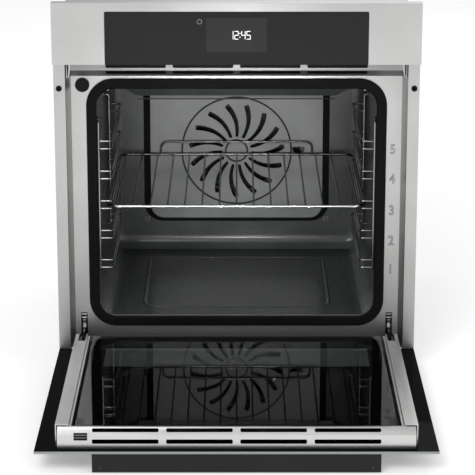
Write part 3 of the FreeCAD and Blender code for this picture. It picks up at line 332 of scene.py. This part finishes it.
def addDigit(form, figure, left, low, wide, tall, stroke, back, front):  # seven-segment bars with pointed ends
    strokes = {"1": "bc", "2": "abged", "4": "fgbc", "5": "afgcd"}[figure]
    half, gap = tall / 2, stroke * 0.12
    bars = {
        "a": (left + gap, low + tall - stroke, left + wide - gap, low + tall),
        "g": (left + gap, low + half - stroke / 2, left + wide - gap, low + half + stroke / 2),
        "d": (left + gap, low, left + wide - gap, low + stroke),
        "f": (left, low + half + gap, left + stroke, low + tall - gap),
        "b": (left + wide - stroke, low + half + gap, left + wide, low + tall - gap),
        "e": (left, low + gap, left + stroke, low + half - gap),
        "c": (left + wide - stroke, low + gap, left + wide, low + half - gap)}
    for letter in strokes:
        x0, z0, x1, z1 = bars[letter]
        xm, zm = (x0 + x1) / 2, (z0 + z1) / 2
        tip = stroke * 0.4
        if x1 - x0 > z1 - z0:
            outline = [(x0, zm), (x0 + tip, z0), (x1 - tip, z0), (x1, zm), (x1 - tip, z1), (x0 + tip, z1)]
        else:
            outline = [(xm, z0), (x1, z0 + tip), (x1, z1 - tip), (xm, z1), (x0, z1 - tip), (x0, z0 + tip)]
        addSlab(form, outline, back, front, "y")


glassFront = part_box("control_glass")[0][1] * 1000
litFace = glassFront - 0.3  # just in front of the display's window
litBack, litFront = litFace + clock["sunk"], litFace - clock["proud"]
form = bmesh.new()
digitStep = (clock["right"] - clock["left"]) / clock["steps"]
for i, figure in enumerate(clock["reading"]):
    left = clock["left"] + digitStep * (i + (clock["gap"] if i > 1 else 0))
    addDigit(form, figure, left, clock["low"], digitStep * clock["fill"], clock["high"] - clock["low"],
             clock["stroke"], litBack, litFront)
middle, dot = clock["left"] + digitStep * clock["dotPlace"], clock["dotHalf"]
for z in (clock["low"] + clock["dotInset"], clock["high"] - clock["dotInset"]):
    addSlab(form, box2(middle - dot, middle + dot, z - dot, z + dot), litBack, litFront, "y")
keep("clock_digits", meshOf(form, "clock_digits"), "oven_body", "litDigits")


def circle(cx, cz, radius, count=72):
    return [(cx + radius * math.cos(2 * math.pi * i / count), cz + radius * math.sin(2 * math.pi * i / count))
            for i in range(count)]


def addRing(form, cx, cz, inner, outer, back, front, count=64):  # a flat ring that faces the front, in mm
    rims = []
    for radius, y in ((inner, back), (outer, back), (outer, front), (inner, front)):
        rims.append([form.verts.new((x / 1000, y / 1000, z / 1000)) for x, z in circle(cx, cz, radius, count)])
    for j in range(4):
        for i in range(count):
            k = (i + 1) % count
            form.faces.new((rims[j][i], rims[j][k], rims[(j + 1) % 4][k], rims[(j + 1) % 4][i]))


powerRing = {"x": -59.5, "z": 564.0, "outer": 4.0, "inner": 3.2, "sunk": 0.1, "proud": 0.1}
form = bmesh.new()
addRing(form, powerRing["x"], powerRing["z"], powerRing["inner"], powerRing["outer"],
        glassFront + powerRing["sunk"], glassFront - powerRing["proud"])
keep("power_ring", meshOf(form, "power_ring"), "oven_body", "printedRing")

window = {"half": 48.7, "low": 514.7, "high": 570.2, "sunk": 0.1, "proud": 0.2, "bevel": 0.08}
form = bmesh.new()
addSlab(form, box2(-window["half"], window["half"], window["low"], window["high"]),
        glassFront + window["sunk"], glassFront - window["proud"], "y", window["bevel"])
keep("clock_window", meshOf(form, "clock_window"), "oven_body", "displayWindow")

print("stage: embossed level numbers")
levelNumbers = {"x": 257.0, "tall": 16.0, "line": 0.5, "capShare": 0.7, "narrow": 0.85,
                "heights": {"5": 344.5, "4": 294.6, "3": 240.7, "2": 188.7, "1": 139.1}}
flatFace = 18.0  # Y of the frame's inner flat
for figure, height in levelNumbers["heights"].items():
    curve = bpy.data.curves.new("level_" + figure, "FONT")
    curve.body = figure
    curve.size = levelNumbers["tall"] / 1000 / levelNumbers["capShare"]
    curve.align_x, curve.align_y = "CENTER", "CENTER"
    curve.fill_mode = "NONE"
    curve.bevel_depth = levelNumbers["line"] / 1000
    curve.bevel_resolution = 2
    curve.resolution_u = 6
    holder = bpy.data.objects.new("level_source_" + figure, curve)
    bpy.context.scene.collection.objects.link(holder)
    mesh = bpy.data.meshes.new_from_object(holder.evaluated_get(bpy.context.evaluated_depsgraph_get()))
    bpy.data.objects.remove(holder)
    place = Matrix.Translation((levelNumbers["x"] / 1000, flatFace / 1000, height / 1000))
    turn = Matrix.Rotation(math.radians(90), 4, "X")
    mesh.transform(place @ turn @ Matrix.Diagonal((levelNumbers["narrow"], 1, 1, 1)))
    mesh.materials.clear()
    # painted shade: the numbers' raised lines take the steel painted dark
    keep("level_number_" + figure, mesh, "oven_body", "paintedShadeSteel")

print("stage: door seal")
seal = {"half": 237.7, "low": 50.0, "high": 455.7, "corner": 37.0, "wide": 17.0, "front": 12.6, "back": 18.0,
        "steps": 24, "squareOut": 0.6, "squareDeep": 0.7, "dip": 0.28, "dipWide": 2.2}


def loopPath(half, low, high, corner, count=12):  # a rounded rectangle's points and outward directions
    points = []
    for cx, cz, start in ((half - corner, high - corner, 0), (-half + corner, high - corner, 90),
                          (-half + corner, low + corner, 180), (half - corner, low + corner, 270)):
        for i in range(count + 1):
            a = math.radians(start + 90 * i / count)
            points.append(((cx + corner * math.cos(a), cz + corner * math.sin(a)), (math.cos(a), math.sin(a))))
    return points


def closeLoop(form, rows):  # skins closed sections that follow each other round a closed path
    for a, b in zip(rows, rows[1:] + rows[:1]):
        for j in range(len(a)):
            k = (j + 1) % len(a)
            form.faces.new((a[j], a[k], b[k], b[j]))


form = bmesh.new()
section = []  # outward distance and Y of the seal's rounded section, with a dip along the middle of its face
for i in range(seal["steps"]):
    a = 2 * math.pi * i / seal["steps"]
    out = math.copysign(abs(math.cos(a)) ** seal["squareOut"], math.cos(a)) * seal["wide"] / 2
    depth = math.copysign(abs(math.sin(a)) ** seal["squareDeep"], math.sin(a)) * (seal["back"] - seal["front"]) / 2
    if depth < 0:
        depth *= 1 - seal["dip"] * math.exp(-(out / seal["dipWide"]) ** 2)
    section.append((out, (seal["front"] + seal["back"]) / 2 + depth))
rows = []
for (px, pz), (dx, dz) in loopPath(seal["half"], seal["low"], seal["high"], seal["corner"]):
    rows.append([form.verts.new(((px + dx * out) / 1000, y / 1000, (pz + dz * out) / 1000)) for out, y in section])
closeLoop(form, rows)
mesh = meshOf(form, "door_seal")
for polygon in mesh.polygons:
    polygon.use_smooth = True
piece = keep("door_seal", mesh, "oven_body", "sealRubber")
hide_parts("door_gasket")

print("stage: fan cover")
cover = {"face": 424.0, "sheet": 0.8, "bevel": 0.3, "half": 158.5, "low": 120.0, "high": 391.0, "corner": 24.0,
         "baseHalf": 171.3, "baseLow": 111.0, "baseHigh": 400.0, "baseCorner": 35.0, "baseDepth": 434.0,
         "rise": 247.5, "ring": 100.5, "hub": 20.0, "groove": 3.2, "slots": 15, "slotOuter": 87.0, "slotInner": 28.0,
         "slotFirst": 11.8, "slotSweep": 13.5, "slotBow": 0.115, "slotWide": 9.8, "slotNarrow": 5.4, "slotEnd": 0.8,
         "slotSteps": 10, "tabX": 166.3, "tabLow": 115.5, "tabHigh": 395.5, "tabWide": 5, "tabTall": 4.5,
         "tabHole": 2.2, "tabDeep": 7, "tabSheet": 1.0, "tabBevel": 0.2,
         "sprayHole": [(102.5, 252.5), (104.5, 255.0), (123.5, 255.0), (125.5, 252.5), (124.0, 247.0),
                       (120.0, 242.5), (114.0, 240.6), (108.0, 242.5), (104.0, 247.0)]}


def plateMesh(outlines, front, thick, bevel):  # closed XZ outlines in mm, holes cut through, as a bevelled plate
    curve = bpy.data.curves.new("plateOutline", "CURVE")
    curve.dimensions = "2D"
    curve.fill_mode = "BOTH"
    curve.extrude = (thick / 2 - bevel) / 1000
    curve.bevel_depth = bevel / 1000
    curve.bevel_resolution = 1
    curve.offset = -bevel / 1000
    for outline in outlines:
        spline = curve.splines.new("POLY")
        spline.points.add(len(outline) - 1)
        for point, (x, z) in zip(spline.points, outline):
            point.co = (x / 1000, z / 1000, 0, 1)
        spline.use_cyclic_u = True
    source = bpy.data.objects.new("plateSource", curve)
    bpy.context.scene.collection.objects.link(source)
    mesh = bpy.data.meshes.new_from_object(source.evaluated_get(bpy.context.evaluated_depsgraph_get()))
    bpy.data.objects.remove(source)
    place = Matrix.Translation((0, (front + thick / 2) / 1000, 0))
    mesh.transform(place @ Matrix.Rotation(math.radians(90), 4, "X"))
    return mesh


def roundedBox(half, low, high, corner, count=8):
    return [point for point, away in loopPath(half, low, high, corner, count)]


def bladeSlot(index):  # one curved slot, wide and square at its outer end, round at its inner end
    def polar(radius, degrees):
        turn = math.radians(degrees)
        return Vector((radius * math.sin(turn), cover["rise"] + radius * math.cos(turn)))
    first = cover["slotFirst"] + 360 / cover["slots"] * index
    outer, inner = polar(cover["slotOuter"], first), polar(cover["slotInner"], first + cover["slotSweep"])
    chord = outer - inner
    across = Vector((chord.y, -chord.x)).normalized()
    left, right = [], []
    for i in range(cover["slotSteps"] + 1):
        t = i / cover["slotSteps"]
        centre = inner + chord * t + across * chord.length * cover["slotBow"] * 4 * t * (1 - t)
        slope = (chord + across * chord.length * cover["slotBow"] * 4 * (1 - 2 * t)).normalized()
        side = Vector((slope.y, -slope.x))
        half = (cover["slotNarrow"] + (cover["slotWide"] - cover["slotNarrow"]) * t) / 2
        if i == cover["slotSteps"]:
            half -= cover["slotEnd"]
        left.append(centre + side * half)
        right.append(centre - side * half)
    tip = inner - chord.normalized() * cover["slotNarrow"] / 2
    return [tuple(p) for p in [tip] + left + right[::-1]]


def joined(name, meshes):  # several meshes as one
    form = bmesh.new()
    for mesh in meshes:
        form.from_mesh(mesh)
        bpy.data.meshes.remove(mesh)
    return meshOf(form, name)


grooveHalf, rise = cover["groove"] / 2, cover["rise"]
facePlates = [  # between the two grooves with the slots, outside them, and the hub
    [circle(0, rise, cover["ring"] - grooveHalf), circle(0, rise, cover["hub"] + grooveHalf, 40)]
    + [bladeSlot(i) for i in range(cover["slots"])],
    [roundedBox(cover["half"], cover["low"], cover["high"], cover["corner"]),
     circle(0, rise, cover["ring"] + grooveHalf), cover["sprayHole"]],
    [circle(0, rise, cover["hub"] - grooveHalf, 40)]]
plates = [plateMesh(outlines, cover["face"], cover["sheet"], cover["bevel"]) for outlines in facePlates]
for x in (-cover["tabX"], cover["tabX"]):
    for z in (cover["tabLow"], cover["tabHigh"]):
        tab = box2(x - cover["tabWide"], x + cover["tabWide"], z - cover["tabTall"], z + cover["tabTall"])
        plates.append(plateMesh([tab, circle(x, z, cover["tabHole"], 20)], cover["face"] + cover["tabDeep"],
                                cover["tabSheet"], cover["tabBevel"]))
# painted light: the cover's enamel is painted paler than the cavity's enamel
piece = keep("cooking_fan_cover", joined("cooking_fan_cover", plates), "oven_body", "paintedLitEnamel")
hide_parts("fan_cover")

form = bmesh.new()  # the cover's sloping rim, and the floors of its two pressed grooves, both in enamel painted dark as painted shade
inside = loopPath(cover["half"] - 0.2, cover["low"] + 0.2, cover["high"] - 0.2, cover["corner"])
outside = loopPath(cover["baseHalf"], cover["baseLow"], cover["baseHigh"], cover["baseCorner"])
face, base = cover["face"], cover["baseDepth"]
rows = []
for ((ax, az), away), ((bx, bz), other) in zip(inside, outside):
    rows.append([form.verts.new((x / 1000, y / 1000, z / 1000)) for x, y, z in (
        (ax, face + 0.3, az), (bx, base - 0.4, bz), (bx, base, bz),
        (bx - away[0] * 1.2, base, bz - away[1] * 1.2), (ax - away[0], face + 1.0, az - away[1]))])
closeLoop(form, rows)
for radius, count in ((cover["ring"], 96), (cover["hub"], 48)):
    addRing(form, 0, rise, radius - 3, radius + 3, face + 2.2, face + 1.6, count)
keep("fan_cover_rim", meshOf(form, "fan_cover_rim"), "oven_body", "paintedShadeEnamel")

print("stage: latch ridges")
latch = {"left": -238.3, "right": -220.7, "ridges": (27.2, 23.0), "tall": 1.3, "front": -461.9, "back": -461.2}
form = bmesh.new()
for z in latch["ridges"]:
    addSlab(form, box2(latch["left"], latch["right"], z - latch["tall"] / 2, z + latch["tall"] / 2),
            latch["back"], latch["front"], "y")
keep("latch_ridges", meshOf(form, "latch_ridges"), "door", "greyPlastic")

print("stage: screen behind the vent slots and skins in the fixing bushes")
ventScreen = {"half": 262, "outline": [(20.8, 469.4), (4.6, 481.6), (4.6, 500.6), (5.4, 500.6), (5.4, 482.0),
                                      (21.4, 470.0)]}  # the outline is in Y and Z
form = bmesh.new()
addSlab(form, ventScreen["outline"], -ventScreen["half"], ventScreen["half"], "x")
keep("vent_screen", meshOf(form, "vent_screen"), "oven_body", "blackPlastic")
# painted shadow: black discs inside the fixing bushes stand in for the shade of the deep holes
bushShadowDisc = {"x": 288.7, "y": 1.2, "z": 451.0, "radius": 3.4, "thick": 0.4}
upright = Matrix.Rotation(math.radians(90), 4, "X")
form = bmesh.new()
for x in (-bushShadowDisc["x"], bushShadowDisc["x"]):
    place = Matrix.Translation((x / 1000, bushShadowDisc["y"] / 1000, bushShadowDisc["z"] / 1000))
    bmesh.ops.create_circle(form, cap_ends=True, segments=32, radius=bushShadowDisc["radius"] / 1000,
                            matrix=place @ upright)
shadowDisc = keep("bush_shadow_discs", meshOf(form, "bush_shadow_discs"), "oven_body", "blackPlastic")
thicken = shadowDisc.modifiers.new("shadowDiscThickness", "SOLIDIFY")
thicken.thickness = bushShadowDisc["thick"] / 1000

print("stage: floor pressing")
pressing = {"half": 157.0, "front": 63.0, "back": 365.0, "corner": 28.0,
            "section": ((-4.4, -0.2), (-2.4, 1.0), (0, 1.5), (2.4, 1.0), (4.4, -0.2))}  # outward and upward
floorLevel = 60.0  # Z of the liner's floor
form = bmesh.new()
rows = []
for (px, pz), (dx, dz) in loopPath(pressing["half"], pressing["front"], pressing["back"], pressing["corner"]):
    rows.append([form.verts.new(((px + dx * out) / 1000, (pz + dz * out) / 1000, (floorLevel + up) / 1000))
                 for out, up in pressing["section"]])
closeLoop(form, rows)
mesh = meshOf(form, "floor_pressing")
for polygon in mesh.polygons:
    polygon.use_smooth = True
keep("floor_pressing", mesh, "oven_body", "enamel")

print("stage: folded front frame")
folds = {"radius": 3.0, "segments": 4, "near": 269, "far": 277, "tall": 8, "least": 0.2, "most": 1.7}
form = bmesh.new()
form.from_mesh(nodes["front_frame"].data)
bmesh.ops.remove_doubles(form, verts=form.verts, dist=0.00001)
bmesh.ops.dissolve_limit(form, angle_limit=math.radians(1), verts=form.verts, edges=form.edges)
folded = []
for edge in form.edges:
    a, b = (v.co * 1000 for v in edge.verts)
    standing = abs(a.x - b.x) < 0.02 and abs(a.y - b.y) < 0.02 and abs(a.z - b.z) > folds["tall"]
    if standing and folds["near"] < abs(a.x) < folds["far"] and len(edge.link_faces) == 2:
        if folds["least"] < edge.calc_face_angle() < folds["most"]:
            folded.append(edge)
bmesh.ops.bevel(form, geom=folded, offset=folds["radius"] / 1000, offset_type="OFFSET", segments=folds["segments"],
                affect="EDGES", profile=0.5, material=-1, clamp_overlap=True)
frameMesh = meshOf(form, "stamped_front_frame")
frameMesh.shade_smooth()
frameMesh.set_sharp_from_angle(angle=math.radians(32))
piece = keep("stamped_front_frame", frameMesh, "oven_body", "formedSteel")
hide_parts("front_frame")

print("stage: rail ends")
railEnd = {"path": [(256, 498.5), (264, 498.0), (269.0, 495.5), (271.4, 490), (272.0, 482), (272.0, 468.4)],
           "deep": 3.4, "radius": 2.3, "wall": [(276.4, 0.6), (270.7, 17.8), (269.8, 17.8), (275.4, 0.6)],
           "wallLow": 468.3, "wallHigh": 494.5}


def tubeMesh(name, points, radius, count=12):  # a round bar through points in mm
    form = bmesh.new()
    rows = []
    for i, point in enumerate(points):
        here = Vector(point)
        ahead = Vector(points[min(i + 1, len(points) - 1)]) - Vector(points[max(i - 1, 0)])
        turn = ahead.to_track_quat("Z", "Y")
        rows.append([form.verts.new((here + turn @ Vector((radius * math.cos(2 * math.pi * j / count),
                                                           radius * math.sin(2 * math.pi * j / count), 0))) / 1000)
                     for j in range(count)])
    for a, b in zip(rows, rows[1:]):
        for j in range(count):
            k = (j + 1) % count
            form.faces.new((a[j], a[k], b[k], b[j]))
    form.faces.new(rows[0][::-1])
    form.faces.new(rows[-1])
    mesh = meshOf(form, name)
    mesh.shade_smooth()
    mesh.set_sharp_from_angle(angle=math.radians(50))
    return mesh


bars = []
for side in (-1, 1):
    path = [(side * x, railEnd["deep"], z) for x, z in railEnd["path"]]
    bars.append(tubeMesh("rail_end", path, railEnd["radius"]))
    corner = bmesh.new()
    addSlab(corner, [(side * x, y) for x, y in railEnd["wall"]], railEnd["wallLow"], railEnd["wallHigh"], "z")
    bars.append(meshOf(corner, "rail_corner"))
keep("rail_ends", joined("rail_ends", bars), "oven_body", "formedSteel")

foot = {"near": 276.6, "far": 297.2, "low": 2.0, "high": 8.6, "front": 0.4, "back": 1.6, "bevel": 0.2}
form = bmesh.new()
for side in (-1, 1):  # the flanges' turned-down feet behind the door's lower edge
    addSlab(form, box2(side * foot["near"], side * foot["far"], foot["low"], foot["high"]),
            foot["front"], foot["back"], "y", foot["bevel"])
keep("flange_feet", meshOf(form, "flange_feet"), "oven_body", "formedSteel")

print("stage: hinge catches")
catch = {"lever": [(18.8, 37.0), (22.4, 37.0), (24.0, 44.0), (21.4, 52.0), (19.0, 50.5), (20.4, 44.5)],
         "near": 253.4, "far": 258.6, "studs": (54.5, 60.0), "studDeep": 20.8, "studRadius": 1.5,
         "studNear": 251.0, "studFar": 261.0}
form = bmesh.new()
for side in (-1, 1):
    addSlab(form, catch["lever"], side * catch["near"], side * catch["far"], "x", 0.3)
    for height in catch["studs"]:
        stud = circle(catch["studDeep"], height, catch["studRadius"], 16)
        addSlab(form, stud, side * catch["studNear"], side * catch["studFar"], "x", 0.2)
keep("hinge_catches", meshOf(form, "hinge_catches"), "oven_body", "screwSteel")

print("stage: baffle lip and cover beads")
# painted shadow: a dark strip of the enamel painted dark stands in for the shadow under the baffle's lower edge
baffleShadow = {"near": 393.0, "far": 396.0, "low": 350.6, "high": 352.2, "half": 180.0}
form = bmesh.new()
addSlab(form, box2(baffleShadow["near"], baffleShadow["far"], baffleShadow["low"], baffleShadow["high"]), -baffleShadow["half"], baffleShadow["half"], "x")
keep("baffle_shadow_strip", meshOf(form, "baffle_shadow_strip"), "oven_body", "paintedShadeEnamel")
bead = {"x": 151.5, "half": 0.7, "low": 128, "high": 386, "back": 424.1, "front": 423.6, "bevel": 0.2}
form = bmesh.new()
for x in (-bead["x"], bead["x"]):
    addSlab(form, box2(x - bead["half"], x + bead["half"], bead["low"], bead["high"]),
            bead["back"], bead["front"], "y", bead["bevel"])
keep("cover_side_beads", meshOf(form, "cover_side_beads"), "oven_body", "paintedLitEnamel")

print("stage: polished outer face of the door and the control glass's lower edge")
paneFace = {"middle": (0, -237.5, 2.42), "size": (594.0, 472.5, 0.16), "corner": 2.0}
place = Matrix.Translation([m / 1000 for m in paneFace["middle"]])
form = bmesh.new()
bmesh.ops.create_cube(form, size=1.0, matrix=place @ Matrix.Diagonal([m / 1000 for m in paneFace["size"]] + [1]))
corners = [e for e in form.edges if abs(e.verts[0].co.z - e.verts[1].co.z) > 0.0001]
bmesh.ops.bevel(form, geom=corners, offset=paneFace["corner"] / 1000, offset_type="OFFSET", segments=3,
                affect="EDGES", profile=0.5, material=-1, clamp_overlap=True)
keep("outer_pane_face", meshOf(form, "outer_pane_face"), "door", "frontGlass")
glassEdge = {"half": 212, "low": 493.95, "high": 495.4, "sunk": 0.4, "proud": 0.04}
form = bmesh.new()
addSlab(form, box2(-glassEdge["half"], glassEdge["half"], glassEdge["low"], glassEdge["high"]),
        glassFront + glassEdge["sunk"], glassFront - glassEdge["proud"], "y")
keep("panel_glass_edge", meshOf(form, "panel_glass_edge"), "oven_body", "panelGlass")

print("stage: deflector between the door panes")
deflector = {"half": 214.0, "near": -76.0, "far": -162.0, "low": 26.0, "high": 29.2, "sheet": 1.0}
near, far, low, high = (deflector[key] for key in ("near", "far", "low", "high"))
form = bmesh.new()
profile = [(near, low), (far + 4, low), (far, high - deflector["sheet"]), (far, high), (far + 1, high),
           (far + 5, low + deflector["sheet"]), (near - 4, low + deflector["sheet"]), (near - 1, high), (near, high)]
addSlab(form, profile, -deflector["half"], deflector["half"], "x")
keep("door_deflector", meshOf(form, "door_deflector"), "door", "shieldSteel")

print("stage: casing details")
ribs = {"proud": 1.4, "sunk": 0.2, "bevel": 1.1, "tall": 16.0, "sides": (150.0, 330.0, 500.0), "near": 70.0,
        "far": 500.0, "top": (-180.0, 0.0, 180.0), "topNear": 90.0, "topFar": 470.0}


def roundedBar(u0, u1, v0, v1, count=6):  # a long outline with round ends
    r = (v1 - v0) / 2
    ends = []
    for centre, start in ((u1 - r, -90), (u0 + r, 90)):
        for i in range(count + 1):
            a = math.radians(start + 180 * i / count)
            ends.append((centre + r * math.cos(a), (v0 + v1) / 2 + r * math.sin(a)))
    return ends


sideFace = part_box("side_panel_right")[1][0] * 1000
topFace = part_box("top_cover")[1][2] * 1000
form = bmesh.new()
for side in (-1, 1):
    for z in ribs["sides"]:
        outline = roundedBar(ribs["near"], ribs["far"], z - ribs["tall"] / 2, z + ribs["tall"] / 2)
        addSlab(form, outline, side * (sideFace - ribs["sunk"]), side * (sideFace + ribs["proud"]), "x",
                ribs["bevel"])
for x in ribs["top"]:
    bar = roundedBar(ribs["topNear"], ribs["topFar"], x - ribs["tall"] / 2, x + ribs["tall"] / 2)
    addSlab(form, [(v, u) for u, v in bar], topFace - ribs["sunk"], topFace + ribs["proud"], "z", ribs["bevel"])
keep("casing_ribs", meshOf(form, "casing_ribs"), "oven_body", "zincSteel")

edgeFold = {"strips": ((21.0, 33.0), (531.0, 543.0)), "low": 6.0, "high": 573.0, "sunk": 0.2, "proud": 0.7,
            "bevel": 0.4}
form = bmesh.new()
for side in (-1, 1):
    for y0, y1 in edgeFold["strips"]:
        addSlab(form, box2(y0, y1, edgeFold["low"], edgeFold["high"]), side * (sideFace - edgeFold["sunk"]),
                side * (sideFace + edgeFold["proud"]), "x", edgeFold["bevel"])
keep("casing_folds", meshOf(form, "casing_folds"), "oven_body", "zincSteel")

sideScrews = {"y": 537.0, "heights": (60.0, 290.0, 540.0), "bevel": 0.3,
              "steps": ((4.6, 0.5, 1.3), (3.4, 1.2, 2.6))}  # each step's radius, and its ends out from the side
form = bmesh.new()
for side in (-1, 1):
    for z in sideScrews["heights"]:
        for radius, low, high in sideScrews["steps"]:
            addSlab(form, circle(sideScrews["y"], z, radius, 24), side * (sideFace + low), side * (sideFace + high),
                    "x", sideScrews["bevel"])
keep("casing_side_screws", meshOf(form, "casing_side_screws"), "oven_body", "screwSteel")

plate = {"left": -205.0, "right": -95.0, "low": 120.0, "high": 175.0, "sunk": 0.3, "proud": 0.02, "bevel": 0.01}
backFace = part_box("rear_panel")[1][1] * 1000
form = bmesh.new()
addSlab(form, box2(plate["left"], plate["right"], plate["low"], plate["high"]), backFace - plate["sunk"],
        backFace + plate["proud"], "y", plate["bevel"])
keep("rating_plate", meshOf(form, "rating_plate"), "oven_body", "ratingPlate")

print("stage: camera, light and floor")
shot = {"place": (0.0, -3.368, 1.1394), "tilt": 15.59, "lens": 160.0, "shiftX": 0.0019}
camera = bpy.data.objects.new("camera", bpy.data.cameras.new("camera"))
camera.data.lens = shot["lens"]
camera.data.sensor_width = 36.0
camera.data.shift_x = shot["shiftX"]
camera.data.clip_end = 60.0
camera.location = shot["place"]
camera.rotation_euler = (math.radians(90 - shot["tilt"]), 0, 0)
bpy.context.scene.collection.objects.link(camera)
bpy.context.scene.camera = camera

floorHeight = cadBox[0][2] - 0.002  # just below the handle, the lowest point
form = bmesh.new()
bmesh.ops.create_grid(form, x_segments=4, y_segments=4, size=14.0)
mesh = meshOf(form, "studio_floor")
floor = bpy.data.objects.new("studio_floor", mesh)
mesh.transform(Matrix.Translation((0, 0, floorHeight)))
bpy.context.scene.collection.objects.link(floor)
makeFinish("paleFloor", {
    "colour": "#f8f8f8", "other": "#f5f5f5", "grain": (4, 4, 4), "rough": (0.7, 0.8), "dent": 0.01,
    "shader": {"Emission Color": linear("#ffffff"), "Emission Strength": 0.3}})
mesh.materials.append(finishes["paleFloor"])

world = bpy.data.worlds.new("studio")
bpy.context.scene.world = world
world.use_nodes = True
world.node_tree.nodes.clear()
rays = addNode(world.node_tree, "ShaderNodeLightPath")
level = addNode(world.node_tree, "ShaderNodeMapRange", {3: 0.6, 4: 1.0}, {0: rays.outputs["Is Camera Ray"]})
sky = addNode(world.node_tree, "ShaderNodeBackground", {"Color": linear("#ffffff")}, {"Strength": level.outputs[0]})
addNode(world.node_tree, "ShaderNodeOutputWorld", {}, {0: sky.outputs[0]})

lamps = {
    "keyLight": {"place": (-1.2, -3.2, 3.0), "aim": (0, 0, 0.25), "wide": 1.8, "watts": 70},
    "fillLight": {"place": (2.6, -2.6, 1.6), "aim": (0, 0, 0.3), "wide": 1.6, "watts": 25},
    "cavityLight": {"place": (0.0, -2.4, 0.5), "aim": (0, 0.2, 0.335), "wide": 0.2, "watts": 78, "cone": 10.0},
    "rearLight": {"place": (0.6, 3.0, 2.2), "aim": (0, 0.3, 0.3), "wide": 1.8, "watts": 12}}
for name, lamp in lamps.items():
    light = bpy.data.lights.new(name, "SPOT" if "cone" in lamp else "AREA")
    if "cone" in lamp:
        light.spot_size, light.spot_blend = math.radians(lamp["cone"]), 0.35
        light.shadow_soft_size = lamp["wide"] / 2
    else:
        light.size = lamp["wide"]
    light.energy = lamp["watts"]
    holder = bpy.data.objects.new(name, light)
    holder.location = lamp["place"]
    holder.rotation_euler = (Vector(lamp["aim"]) - Vector(lamp["place"])).to_track_quat("-Z", "Y").to_euler()
    bpy.context.scene.collection.objects.link(holder)
bpy.context.scene.view_settings.view_transform = "Standard"
